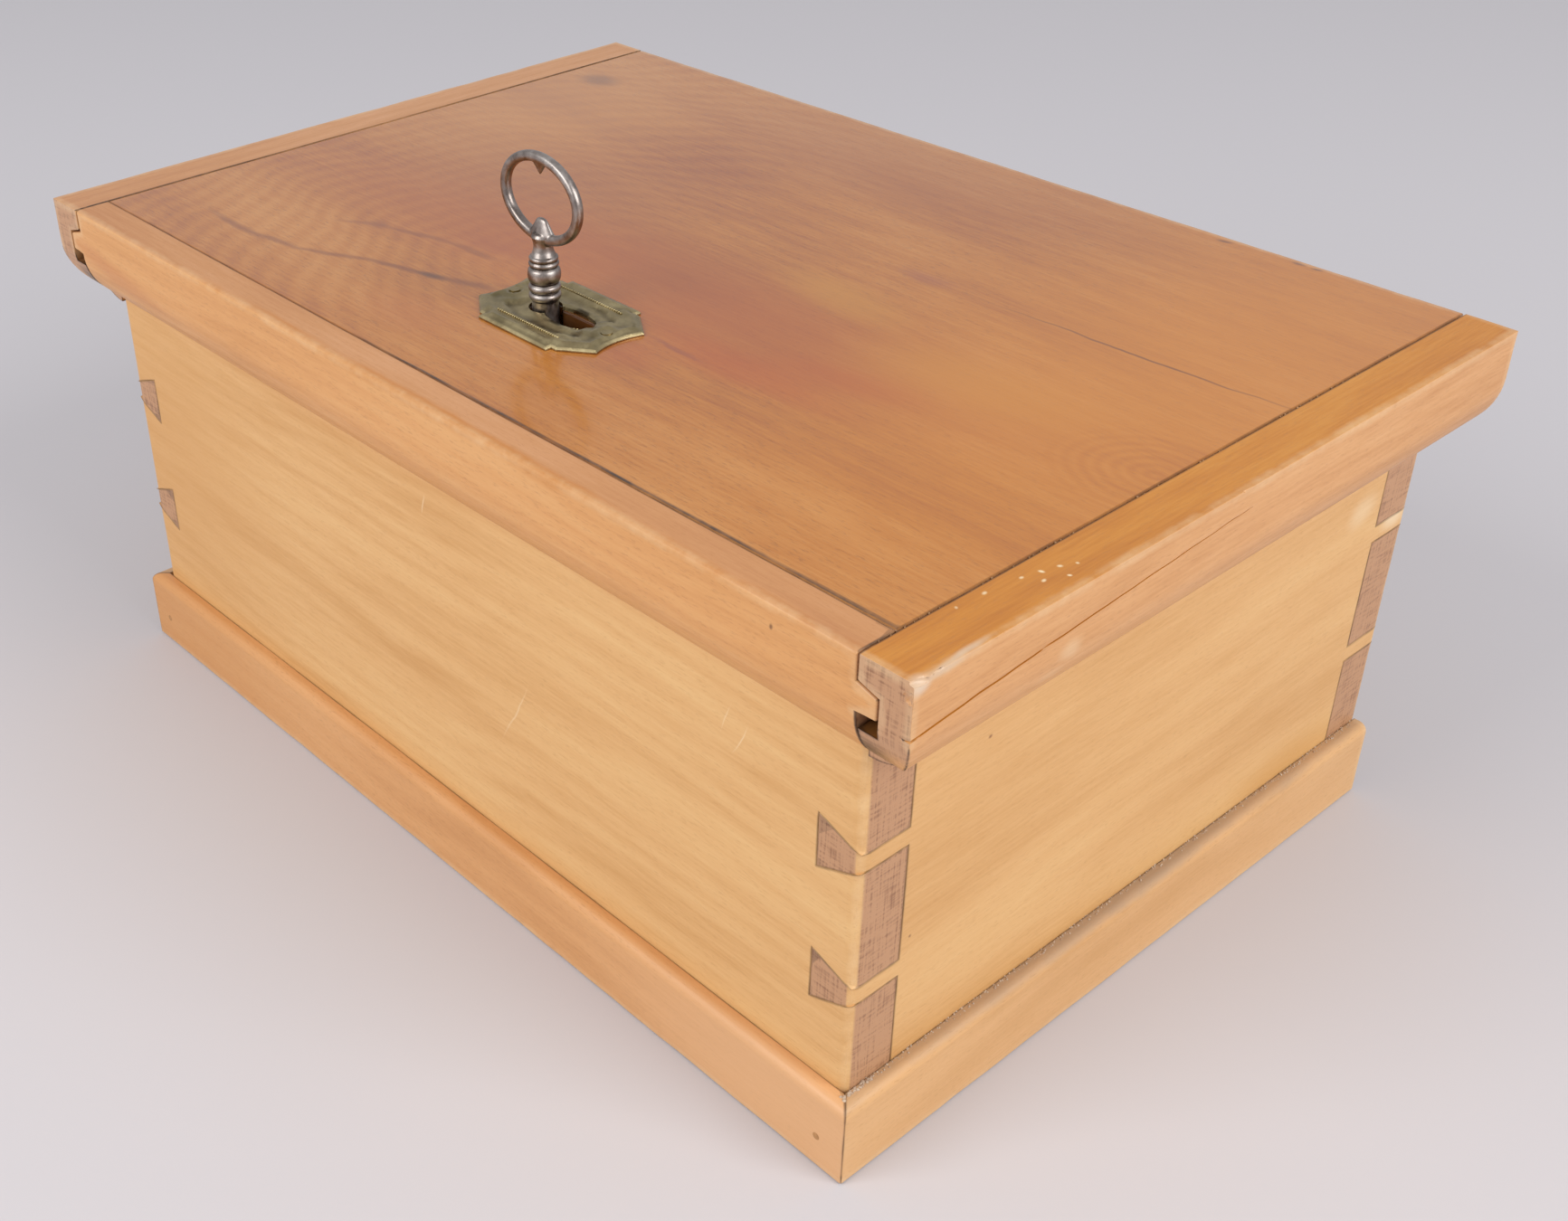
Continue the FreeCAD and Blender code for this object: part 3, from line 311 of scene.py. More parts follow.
def loose_grains(name, tones):
    """Dry crumbs of filler, wax and dust, each grain a little lighter or darker."""
    material, tree = new_material(name)
    place = add(tree, "ShaderNodeTexCoord")
    spot = add(tree, "ShaderNodeTexNoise", {
        "Vector": place.outputs["Object"], "Scale": 900.0, "Detail": 2.0,
    })
    colour = add(tree, "ShaderNodeValToRGB", {"Fac": spot.outputs[0]}, stops=list(zip((0.35, 0.65), tones)))
    shader = add(tree, "ShaderNodeBsdfPrincipled", {"Base Color": colour.outputs[0], "Roughness": 0.9})
    add(tree, "ShaderNodeOutputMaterial", {"Surface": shader.outputs[0]})
    return material


# Tones from pale to deep; a board's fourth is its pores.
WALL_TONES = ("#e4b87c", "#dcab6f", "#cd985a", "#be8b52")
LEDGE_TONES = ("#e3b680", "#dcab74", "#ce9b62", "#b07c48")
BASE_TONES = ("#dfaa72", "#d69d65", "#c68b53", "#a9713f")
STRIP_TONES = ("#dfa96d", "#d79b5e", "#c88a4e", "#a9713f")
LID_TONES = ("#c78742", "#b67129", "#9d5720", "#5f3316")
LID_EDGE_TONES = ("#d0986a", "#c48a58", "#b3774a")
AMBER_TONES = ("#cf8e3a", "#c37e2e", "#b06a26")
END_TONES = ("#95694a", "#bd8e68")

# Stains, streaks, rubs, scratches, painted shade and painted highlights: centre and radii in mm, turn in
# degrees, tint and strength.
WALL_MARKS = [
    # Painted shade: a darker band along the top of the wall under the overhanging strip, partly darker
    # oxidation there.
    ((0, -91, 113), (190, 9, 10), (0, 0, 0), "#cf9656", 0.5),
    # Painted shade: darker towards the left end of the wall.
    ((-125, -91, 70), (80, 9, 70), (0, 0, 0), "#cf9858", 0.55),
    ((31, -91, 60.3), (14, 3, 0.35), (0, -61, 0), "#f0d6ac", 0.4),
    ((103, -91, 93), (6, 3, 0.25), (0, -65, 0), "#f0d6ac", 0.45),
    ((99, -91, 96), (5, 3, 0.25), (0, -72, 0), "#f0d6ac", 0.4),
    ((0.7, -91, 101.7), (4, 3, 0.3), (0, -75, 0), "#f0d6ac", 0.6),
]
SIDE_MARKS = [
    # Painted highlights: two pale patches at the back pins.
    ((135, 77, 91), (3, 8, 6), (0, 0, 0), "#f0d8b0", 0.4),
    ((135, 93.5, 82.5), (3, 7, 4), (0, 0, 0), "#f3e0c0", 0.5),
    ((135, -55.7, 93.5), (3, 0.8, 0.7), (0, 0, 0), "#7d4d2c", 0.8),
    ((135, -74.2, 53.9), (3, 0.7, 0.6), (0, 0, 0), "#7d4d2c", 0.7),
    ((135, 66, 25), (4, 34, 9), (0, 0, 0), "#cf964f", 0.5),
]
RAIL_MARKS = [
    ((150, -55.7, 121.7), (3, 5, 3.5), (0, 0, 0), "#e8c79c", 0.45),
    ((150, -60, 117), (3, 6, 2), (0, 0, 0), "#e8c79c", 0.3),
    ((142, -56, 134), (0.9, 0.6, 3), (0, 0, 30), "#f3dfb4", 0.9),
    ((144, -58, 134), (0.5, 0.9, 3), (0, 0, 10), "#f3dfb4", 0.8),
    ((146, -53, 134), (0.7, 0.5, 3), (0, 0, 50), "#f3dfb4", 0.9),
    ((140, -69, 134), (0.6, 0.8, 3), (0, 0, 20), "#f3dfb4", 0.7),
    ((143, -52, 134), (0.8, 0.5, 3), (0, 0, 60), "#f3dfb4", 0.8),
    ((141, -60, 134), (0.5, 0.7, 3), (0, 0, 15), "#f3dfb4", 0.7),
    ((139.5, -76, 134), (0.5, 0.6, 3), (0, 0, 40), "#f3dfb4", 0.6),
    ((144.5, -49, 134), (0.5, 0.5, 3), (0, 0, 0), "#f3dfb4", 0.7),
    ((149.5, -88, 133.5), (1.2, 13, 1.5), (0, 0, 0), "#cbb6a2", 0.7),
    ((149, -97, 132.8), (2.4, 4, 2.4), (0, 0, 0), "#dfcbb4", 0.8),
    # Painted shade: near-black brown round the hole, low on the inner side of the rail's near end.
    ((138, -98, 115.5), (10, 34, 10), (0, 0, 0), "#3a2617", 0.9),
]
# Painted shade: the same near-black brown, low on the inner side of the far rail's near end.
FAR_RAIL_PAINTED_SHADE = [((-138, -98, 115.5), (10, 34, 10), (0, 0, 0), "#3a2617", 0.9)]
BASE_MARKS = [
    ((125, -95, 10), (80, 6, 40), (0, 0, 0), "#e2b283", 0.6),
    ((-130, -95, 10), (90, 8, 40), (0, 0, 0), "#c68749", 0.5),
]
LEDGE_MARKS = [
    ((135.5, 0, 21), (5.6, 170, 2.6), (0, 0, 0), "#a88e74", 0.9),
    ((-135.5, 0, 21), (5.6, 170, 2.6), (0, 0, 0), "#a88e74", 0.9),
]
STRIP_MARKS = [
    ((117.3, -98.5, 128.6), (0.7, 3, 1.0), (0, 0, 0), "#6d4426", 0.8),
    ((-120, -98.5, 121), (34, 6, 5), (0, 8, 0), "#b96f42", 0.4),
    ((25, -97.7, 134), (160, 2.4, 3), (0, 0, 0), "#bf7626", 0.8),
]
LID_MARKS = [
    ((0, -21, 134), (170, 34, 9), (0, 0, 3), "#a3521f", 0.65),
    ((49, -38, 134), (40, 10, 9), (0, 0, 0), "#ac4f1a", 0.5),
    ((66, -26, 134), (28, 9, 9), (0, 0, 12), "#ac521e", 0.45),
    ((24, -50, 134), (17, 10, 9), (0, 0, 0), "#a85423", 0.5),
    ((87, -7, 134), (42, 18, 9), (0, 0, 4), "#c08028", 0.5),
    ((37, 5, 134), (30, 11, 9), (0, 0, -8), "#c0832c", 0.5),
    ((-70, 5, 134), (70, 40, 9), (0, 0, 6), "#98572f", 0.45),
    ((118, 25, 134), (85, 150, 9), (0, 0, 0), "#ce8226", 0.5),
    ((-10, 78, 134), (110, 40, 9), (0, 0, 0), "#96542e", 0.4),
    ((-115, 45, 134), (62, 62, 9), (0, 0, 0), "#c4874a", 0.45),
    ((-25, -73, 134), (22, 11, 9), (0, 0, 0), "#ac5f24", 0.4),
    ((-44, -34, 134), (16, 6, 9), (0, 0, 10), "#9c4f28", 0.4),
    ((-124, 69, 134), (10, 7, 9), (0, 0, 0), "#744a34", 0.6),
    ((77.6, 96, 134), (3, 1.0, 3), (0, 0, 10), "#744627", 0.8),
    ((97, 96.4, 134), (2.6, 1.0, 3), (0, 0, 0), "#744627", 0.8),
    ((101.6, 96.1, 134), (2.0, 0.9, 3), (0, 0, 0), "#744627", 0.8),
    ((43, 27.5, 134), (11, 4, 9), (0, 0, 0), "#9a573a", 0.5),
    ((103, 28.7, 134), (54, 0.6, 9), (0, 0, 2.4), "#6c3f22", 0.75),
    ((-100, -73, 134), (19, 1.9, 9), (0, 0, -3), "#7d421f", 0.6),
    ((-84, -71.4, 134), (15, 1.6, 9), (0, 0, 12), "#7d421f", 0.6),
    ((-67, -66, 134), (15, 1.6, 9), (0, 0, 24), "#7d421f", 0.6),
    ((-49, -59.3, 134), (18, 1.8, 9), (0, 0, 16), "#743a1c", 0.65),
    ((-39, -56.5, 134), (7, 2.2, 9), (0, 0, 14), "#56301e", 0.7),
    ((-30, -53, 134), (12, 2.4, 9), (0, 0, 22), "#743a1c", 0.6),
    ((-75, -46.6, 134), (5, 4, 9), (0, 0, 0), "#8a4c26", 0.5),
    ((-79, -49.2, 134), (9, 1.6, 9), (0, 0, 31), "#8a4c26", 0.5),
    ((-62.5, -43.5, 134), (20, 1.6, 9), (0, 0, 14), "#84451f", 0.6),
    ((-44, -40, 134), (13, 1.9, 9), (0, 0, 3), "#84451f", 0.6),
    ((31, -41, 134), (13, 1.2, 9), (0, 0, -1), "#8e4a30", 0.6),
    # Painted shade: dark brown on the walls of the keyhole, under the plate.
    ((3, KEY_Y, 130), (23, 14, 30), (0, 0, 0), "#3d2413", 0.9),
]

# Planed pear under old oil: pale honey boards with soft streaks along the fibres and little shine, and
# painted shade under the overhanging strip and towards the left end of the front.
front_wood = fruitwood("planed_pear_front", "X", WALL_TONES, (30, 10, 5.5, 13, 0.75, 0.1, 0.42), 0.45,
                       (11, 3, 5), marks=WALL_MARKS)
# The same pear on the sides: a broader, calmer figure, a few dents and painted highlights at the back pins.
side_wood = fruitwood("planed_pear_side", "Y", WALL_TONES, (40, -20, 9.0, 16, 0.6, 0.08, 0.36), 0.45,
                      (53, 31, 7), marks=SIDE_MARKS)
# Planed cherry: pinker and more even than the walls, darker towards the far end.
base_front_wood = fruitwood("planed_cherry_base", "X", BASE_TONES, (8, 30, 6.0, 40, 0.6, 0.1, 0.3), 0.45,
                            (7, 1, 3), marks=BASE_MARKS)
# Planed cherry at the sides: a little paler, with grey dirt on its ledge.
base_side_wood = fruitwood("planed_cherry_base_side", "Y", LEDGE_TONES, (8, 35, 6.0, 40, 0.6, 0.1, 0.3),
                           0.45, (17, 9, 3), marks=LEDGE_MARKS)
# Moulded cherry: fine straight fibres, an amber top where finish gathered, a dark groove, and painted shade
# in the hole at its near end.
rail_wood = fruitwood("moulded_cherry_rail", "Y", BASE_TONES, (20, 25, 5.0, 40, 0.6, 0.1, 0.55), 0.40,
                      (5, 9, 13), top=AMBER_TONES, marks=RAIL_MARKS, grime=0.95)
# The far rail is smoother, with a pinkish top that catches more light, and painted shade low at its near
# end.
far_rail_wood = fruitwood("moulded_cherry_far_rail", "Y", BASE_TONES, (20, 25, 5.0, 40, 0.6, 0.1, 0.4), 0.34,
                          (5, 9, 13), top=LID_EDGE_TONES, marks=FAR_RAIL_PAINTED_SHADE, grime=0.95)
# The lid's front strip: an orange face, a pinkish rubbed top and a darker far end.
strip_wood = fruitwood("moulded_cherry_strip", "X", STRIP_TONES, (20, 20, 5.0, 40, 0.6, 0.1, 0.4), 0.40,
                       (91, 3, 1), top=LID_EDGE_TONES, marks=STRIP_MARKS, grime=0.95)
# Polished cherry: orange brown with red clouds and dark streaks, under a thin coat that mirrors the key, and
# painted shade on the walls of the keyhole.
lid_wood = fruitwood("polished_cherry_lid", "X", LID_TONES, (29, -129, 6.5, 40, 0.85, 0.06, 0.5), 0.18,
                     (3, 2, 9), marks=LID_MARKS, grime=0.95, coat=0.45, swirl=(-20, -137, 110),
                     knot=(135, -13, 134))
# Sawn beech: plain, dry and dull.
bottom_wood = fruitwood("sawn_beech_bottom", "X", BASE_TONES, (5, 60, 5.0, 40, 0.6, 0.1, 0.4), 0.6,
                        (37, 1, 3))
# Cast brass: olive yellow from tarnish, brown in its hollows, with soft bright edges.
brass = worked_metal("tarnished_cast_brass", ("#8c7f5c", "#a69670", "#beaf86", "#4a3d24"), 0.38, 7)
# Forged steel: rubbed to a soft grey shine by hands, brown between its collars.
steel = worked_metal("rubbed_forged_steel", ("#7a6f68", "#9a908a", "#b6afa9", "#3a302a"), 0.35, 4)
# Wrought iron: nearly black from the fire, with a dull gleam.
iron = worked_metal("blackened_wrought_iron", ("#2b2825", "#3d3934", "#57514a", "#1c1917"), 0.55, 5)
# Drawn wire: dark, rough and hardly shiny.
wire = worked_metal("drawn_iron_wire", ("#1f1b18", "#332c27", "#4d443c", "#15110f"), 0.6, 3)
# Crumbs of old wax: brown specks, dry and without shine.
crumbs = loose_grains("crumbled_wax_filler", ("#6d4a2f", "#b78d63"))
# Dust: pale grey brown and matt.
dust = loose_grains("settled_grey_dust", ("#ab9078", "#cdb9a2"))
# Wax over a brad: a dull spot near the colour of the wood.
filler = loose_grains("waxed_over_brad", ("#a97b4e", "#bd8c5b"))


# Worn boards
def set_attribute(mesh, name, values):
    layer = mesh.attributes.new(name, "FLOAT", "POINT")
    layer.data.foreach_set("value", values)


def edge_points(segments):
    """A search tree of points every 0.5 mm along some edges, or None."""
    points = []
    for start, end in segments:
        steps = max(2, int((end - start).length / (0.5 * MM)))
        points += [start.lerp(end, step / steps) for step in range(steps + 1)]
    if not points:
        return None
    tree = kdtree.KDTree(len(points))
    for index, point in enumerate(points):
        tree.insert(point, index)
    tree.balance()
    return tree


def distance_mm(tree, point):
    return min(REACH, tree.find(point)[2] / MM) if tree else REACH


def rule_for(point, rules):
    """The first rule (low corner, high corner, radius, kind) whose box in mm holds a point."""
    for low, high, radius, kind in rules:
        if all(low[axis] <= point[axis] / MM <= high[axis] for axis in range(3)):
            return radius, kind
    return PLAIN_ROUNDING, "seam"


def split_mesh(bm, cell, rows=(0.4, 0.8, 1.3, 2.0, 3.2)):
    """Cut a mesh along planes a cell apart, with closer rows near the ends of each axis."""
    for axis in range(3):
        places = [vertex.co[axis] for vertex in bm.verts]
        low, high = min(places), max(places)
        count = max(1, int((high - low) / (cell * MM)))
        cuts = [low + (high - low) * step / count for step in range(1, count)]
        if high - low > 4 * max(rows) * MM:
            cuts += [low + row * MM for row in rows] + [high - row * MM for row in rows]
        normal = [0, 0, 0]
        normal[axis] = 1
        for cut in cuts:
            spot = [0, 0, 0]
            spot[axis] = cut
            parts = bm.verts[:] + bm.edges[:] + bm.faces[:]
            bmesh.ops.bisect_plane(bm, geom=parts, plane_co=spot, plane_no=normal, dist=1e-7)


def changed(mesh, name, kind, **settings):
    """A mesh after one modifier."""
    rough = bpy.data.objects.new(name, mesh)
    bpy.context.collection.objects.link(rough)
    modifier = rough.modifiers.new(name, kind)
    for key, setting in settings.items():
        setattr(modifier, key, setting)
    evaluated = rough.evaluated_get(bpy.context.evaluated_depsgraph_get())
    finished = bpy.data.meshes.new_from_object(evaluated)
    bpy.data.objects.remove(rough)
    return finished


def rounded(mesh, rules):
    """A mesh with its convex edges rounded by the rules, and the lines those edges ran along."""
    bm = bmesh.new()
    bm.from_mesh(mesh)
    bmesh.ops.remove_doubles(bm, verts=bm.verts, dist=MERGE * MM)
    bmesh.ops.dissolve_limit(bm, angle_limit=math.radians(1), verts=bm.verts, edges=bm.edges)
    weights = bm.edges.layers.float.new("bevel_weight_edge")
    widest = max([rule[2] for rule in rules] + [PLAIN_ROUNDING])
    lines = {"arris": [], "seam": []}
    for edge in bm.edges:
        if len(edge.link_faces) != 2 or edge.calc_face_angle_signed() < math.radians(SHARP):
            continue
        start, end = edge.verts[0].co.copy(), edge.verts[1].co.copy()
        radius, kind = rule_for((start + end) / 2, rules)
        edge[weights] = radius / widest
        lines[kind].append((start, end))
    bm.to_mesh(mesh)
    bm.free()
    mesh = changed(mesh, "rounding", "BEVEL", limit_method="WEIGHT", width=widest * MM, segments=4,
                   use_clamp_overlap=True, loop_slide=False)
    return mesh, lines


def knocked_in(vertex, from_arris, from_seam):
    """How far in mm use has worn a board in at a place.

    Dents about 9 mm long and up to 0.25 mm deep follow the arrises; waves 45 mm long and 0.06 mm deep
    cover the faces and die out within 6 mm of a seam.
    """
    knock = 0.5 + 0.5 * noise.noise(vertex.co / (9 * MM) + Vector((3, 7, 1)))
    wave = 0.5 + 0.5 * noise.noise(vertex.co / (45 * MM))
    near_arris = max(0, 1 - from_arris / 3) ** 2
    return 0.25 * knock * knock * near_arris + 0.06 * wave * min(1, from_seam / 6)


def worn_copy(node, body, slot, material, rules, cell=5.0, wear=knocked_in, cuts=(), cracks=()):
    """A CAD piece with rounded arrises, tight seams, cut-out damage and the unevenness of long use."""
    mesh, lines = rounded(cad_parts[node].data.copy(), rules)
    for cut in cuts:
        mesh = changed(mesh, "damage", "BOOLEAN", object=cut, operation="DIFFERENCE", solver="EXACT")
        bpy.data.objects.remove(cut)
    bm = bmesh.new()
    bm.from_mesh(mesh)
    bmesh.ops.remove_doubles(bm, verts=bm.verts, dist=MERGE * MM)
    split_mesh(bm, cell)
    split = edge_points(cracks)
    trees = {kind: edge_points(segments) for kind, segments in lines.items()}
    bm.normal_update()
    arris, seam, moves = [], [], []
    for vertex in bm.verts:
        from_arris = distance_mm(trees["arris"], vertex.co)
        from_seam = min(distance_mm(trees["seam"], vertex.co), distance_mm(split, vertex.co))
        arris.append(REACH - from_arris)
        seam.append(REACH - from_seam)
        moves.append(vertex.normal * (-wear(vertex, from_arris, from_seam) * MM))
    for vertex, move in zip(bm.verts, moves):
        vertex.co += move
    bm.to_mesh(mesh)
    bm.free()
    set_attribute(mesh, "arris_near", arris)
    set_attribute(mesh, "seam_near", seam)
    return finish_piece(f"{node}_worn", mesh, body, slot, material, node, flat=True)


def finish_piece(name, mesh, body, slot, material, *nodes, flat=False):
    """Give a mesh its object, material and body, and let it stand for CAD nodes; the slot is not used."""
    mesh.materials.clear()
    mesh.materials.append(material)
    for polygon in mesh.polygons:
        polygon.use_smooth = True
        polygon.material_index = 0
    mesh.set_sharp_from_angle(angle=math.radians(CREASE))
    if flat:
        mesh = changed(mesh, "flattening", "WEIGHTED_NORMAL", keep_sharp=True, weight=90)
    piece = bpy.data.objects.new(name, mesh)
    bpy.context.collection.objects.link(piece)
    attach(piece, body)
    if nodes:
        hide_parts(*nodes)
    return piece


FAR = 1000


def slab(axis, value, reach=0.05):
    """A box in mm that holds everything on one plane across an axis."""
    low, high = [-FAR] * 3, [FAR] * 3
    low[axis], high[axis] = value - reach, value + reach
    return low, high


def corner(first_axis, first, second_axis, second, reach=0.05):
    """A box in mm that holds a line along the third axis."""
    low, high = slab(first_axis, first, reach)
    low[second_axis], high[second_axis] = second - reach, second + reach
    return low, high


def cutter(name, bm):
    mesh = bpy.data.meshes.new(name)
    bmesh.ops.recalc_face_normals(bm, faces=bm.faces)
    bm.to_mesh(mesh)
    bm.free()
    tool = bpy.data.objects.new(name, mesh)
    bpy.context.collection.objects.link(tool)
    return tool


CRACK_START = -99.5
CRACK_RUN = 98
CRACK_STEPS = 48


def split_line():
    """The shrinkage crack in the right rail's face, from the near end, rising and fading.

    Each station has its y and z, the crack's width and its depth, all in mm.
    """
    stations = []
    for step in range(CRACK_STEPS + 1):
        share = step / CRACK_STEPS
        y = CRACK_START + CRACK_RUN * share
        z = 121.9 + 7.2 * share ** 0.8 + 0.25 * noise.noise(Vector((y / 6, 3, 1)))
        width = 0.5 * (1 - share) ** 0.6 + 0.14
        stations.append((y, z, width, 0.6 + 1.6 * width))
    return stations


def crack_cutter():
    """A wedge along the crack: up to 0.5 mm wide at the face and 0.8 to 1.6 mm deep."""
    bm = bmesh.new()
    rows = []
    outside = HALF_LENGTH + 0.6
    for y, z, width, depth in split_line():
        half = width * 0.55
        places = ((outside, y, z + half), (outside, y, z - half), (HALF_LENGTH - depth, y, z - 0.1))
        rows.append([bm.verts.new(Vector(place) * MM) for place in places])
    for first, second in zip(rows, rows[1:]):
        for side in range(3):
            bm.faces.new((first[side], first[(side + 1) % 3], second[(side + 1) % 3], second[side]))
    bm.faces.new(rows[0])
    bm.faces.new(rows[-1])
    return cutter("crack_cutter", bm)


def chip_cutter(chips):
    """Rough lumps that bite chips out of an arris; each has a centre and radii in mm."""
    bm = bmesh.new()
    for number, (centre, radii) in enumerate(chips):
        made = bmesh.ops.create_icosphere(bm, subdivisions=3, radius=1.0)["verts"]
        for vertex in made:
            swell = 1 + 0.35 * noise.noise(vertex.co * 1.7 + Vector((number * 5, 2, 8)))
            place = [centre[axis] + vertex.co[axis] * radii[axis] * swell for axis in range(3)]
            vertex.co = Vector(place) * MM
    return cutter("chip_cutter", bm)


RAIL_CHIPS = [
    ((150.7, -97.2, 134.0), (1.8, 3.4, 1.3)), ((150.5, -92.4, 134.4), (1.1, 2.6, 0.9)),
    ((150.6, -88.2, 134.5), (0.9, 2.2, 0.9)), ((150.4, -81.5, 134.6), (0.8, 3.0, 0.8)),
    ((150.6, -75.5, 134.5), (0.9, 1.6, 0.8)), ((150.6, -5.2, 134.4), (1.0, 1.0, 0.9)),
    ((149.0, -99.4, 130.5), (1.6, 1.3, 1.8)), ((147.0, -99.6, 108.2), (2.6, 1.8, 2.2)),
    ((139.5, -99.4, 121.0), (2.2, 1.3, 2.6)),
]
rail_crack = [Vector((HALF_LENGTH - depth, y, z - 0.1)) * MM for y, z, width, depth in split_line()]

for hand in (-1, 1):
    side = "left" if hand < 0 else "right"
    wall_x = hand * WALL_X
    worn_copy(f"{side}_wall", "box", "wall_wood", side_wood, [
        (*corner(0, wall_x, 1, WALL_FRONT), 2.6, "arris"),
        (*corner(0, wall_x, 1, BACK), 1.2, "arris"),
    ], cell=3.0)
    worn_copy(f"{side}_plinth", "box", "base_wood", base_side_wood, [
        (*corner(0, hand * PLINTH_X, 1, PLINTH_FRONT), 0.3, "seam"),
        (*slab(0, hand * PLINTH_X), 0.5, "arris"),
        (*slab(1, BACK), 0.5, "arris"),
    ])
    right = hand > 0
    worn_copy(f"{side}_rail", "box", "rail_wood", rail_wood if right else far_rail_wood, [
        (*corner(0, hand * HALF_LENGTH, 2, LID_TOP), 1.0, "arris"),
        (*corner(0, hand * RAIL_INNER, 2, LID_TOP), 0.6, "seam"),
        (*slab(1, FRONT), 0.6, "arris"),
        (*slab(1, BACK), 0.6, "arris"),
    ], cell=4.0, cuts=[crack_cutter(), chip_cutter(RAIL_CHIPS)] if right else [],
        cracks=list(zip(rail_crack, rail_crack[1:])) if right else [])
worn_copy("front_wall", "box", "wall_wood", front_wood, [
    (*corner(0, WALL_X, 1, WALL_FRONT), 2.6, "arris"),
    (*corner(0, -WALL_X, 1, WALL_FRONT), 2.6, "arris"),
], cell=3.0)
worn_copy("back_wall", "box", "wall_wood", front_wood, [
    (*corner(0, WALL_X, 1, BACK), 1.2, "arris"),
    (*corner(0, -WALL_X, 1, BACK), 1.2, "arris"),
])
worn_copy("front_plinth", "box", "base_wood", base_front_wood, [
    (*corner(0, PLINTH_X, 1, PLINTH_FRONT), 0.3, "seam"),
    (*corner(0, -PLINTH_X, 1, PLINTH_FRONT), 0.3, "seam"),
    (*slab(1, PLINTH_FRONT), 0.5, "arris"),
])
worn_copy("lid_panel", "lid", "lid_wood", lid_wood, [
    ((TONGUE_X, -FAR, 0), (FAR, FAR, TONGUE_TOP), 0.3, "arris"),
    ((-FAR, -FAR, 0), (-TONGUE_X, FAR, TONGUE_TOP), 0.3, "arris"),
    (*corner(1, BACK, 2, LID_TOP), 0.6, "arris"),
    (*slab(2, LID_TOP), 0.6, "seam"),
], cracks=[(Vector((-25, -88.75, LID_TOP)) * MM, Vector((137, -88.35, LID_TOP)) * MM),
           (Vector((0, -88.5, LID_TOP)) * MM, Vector((137, -87.95, LID_TOP)) * MM)])
worn_copy("lid_front_strip", "lid", "rail_wood", strip_wood, [
    (*corner(1, STRIP_BACK, 2, LID_TOP), 0.35, "seam"),
    (*corner(1, FRONT, 2, LID_TOP), 1.0, "arris"),
    (*slab(1, FRONT), 0.5, "arris"),
], cell=3.0)


# Lock plate and key
OVAL_X = 3.5
OVAL = (8.5, 3.6)


def plate_wear(vertex, from_arris, from_seam):
    """The plate's cast relief in mm: a raised border and bead, a sunken field and a lip at the keyhole."""
    if vertex.normal.z < 0.7 or vertex.co.z < (LID_TOP + 0.7) * MM:
        return 0
    rim = math.exp(-((from_arris - 1.5) / 0.8) ** 2)
    bead = math.exp(-((from_arris - 4.9) / 0.5) ** 2)
    band = min(1, max(0, from_arris - 1), max(0, 5.2 - from_arris))
    field = min(1, max(0, (from_arris - 5.2) / 0.6))
    around = math.hypot((vertex.co.x / MM - OVAL_X) / OVAL[0], (vertex.co.y / MM - KEY_Y) / OVAL[1])
    lip = math.exp(-((around - 1.35) / 0.3) ** 2)
    return 0.3 * field - 0.55 * rim - 0.3 * bead - 0.3 * band - 0.35 * lip


def hollowness(mesh):
    """How deep each vertex lies between its neighbours, 0 on flat or proud places and 1 in grooves."""
    bm = bmesh.new()
    bm.from_mesh(mesh)
    bm.normal_update()
    raw = []
    for vertex in bm.verts:
        ways = [edge.other_vert(vertex).co - vertex.co for edge in vertex.link_edges]
        rises = [way.normalized().dot(vertex.normal) for way in ways]
        raw.append(sum(rises) / max(1, len(rises)))
    for smoothing in range(4):
        smoother = []
        for vertex in bm.verts:
            around = [raw[edge.other_vert(vertex).index] for edge in vertex.link_edges]
            smoother.append(0.5 * raw[vertex.index] + 0.5 * sum(around) / max(1, len(around)))
        raw = smoother
    bm.free()
    return [min(1, max(0, (value - 0.01) / 0.08)) for value in raw]


def lathe(bm, profile, centre=(0, 0, 0), squash=(1, 1), flip=1, segments=56):
    """Turn a profile of (radius, height) in mm about the Z axis."""
    rings = []
    for radius, height in profile:
        ring = []
        for step in range(segments):
            angle = 2 * math.pi * step / segments
            x = centre[0] + radius * squash[0] * math.cos(angle)
            y = centre[1] + radius * squash[1] * math.sin(angle)
            ring.append(bm.verts.new(Vector((x, y, centre[2] + flip * height)) * MM))
        rings.append(ring)
    for low, high in zip(rings, rings[1:]):
        for step in range(segments):
            after = (step + 1) % segments
            bm.faces.new((low[step], low[after], high[after], high[step]))
    bm.faces.new(rings[0])
    bm.faces.new(rings[-1])


def swell(low, high, inner, outer):
    """The profile of a turned ring or bead between two heights."""
    points = []
    for step in range(9):
        across = step / 4 - 1
        points.append((inner + (outer - inner) * math.sqrt(1 - min(1, across * across)),
                       low + (high - low) * (0.5 + 0.48 * across)))
    return points


BOW_STEPS = 120
BAR_STEPS = 20


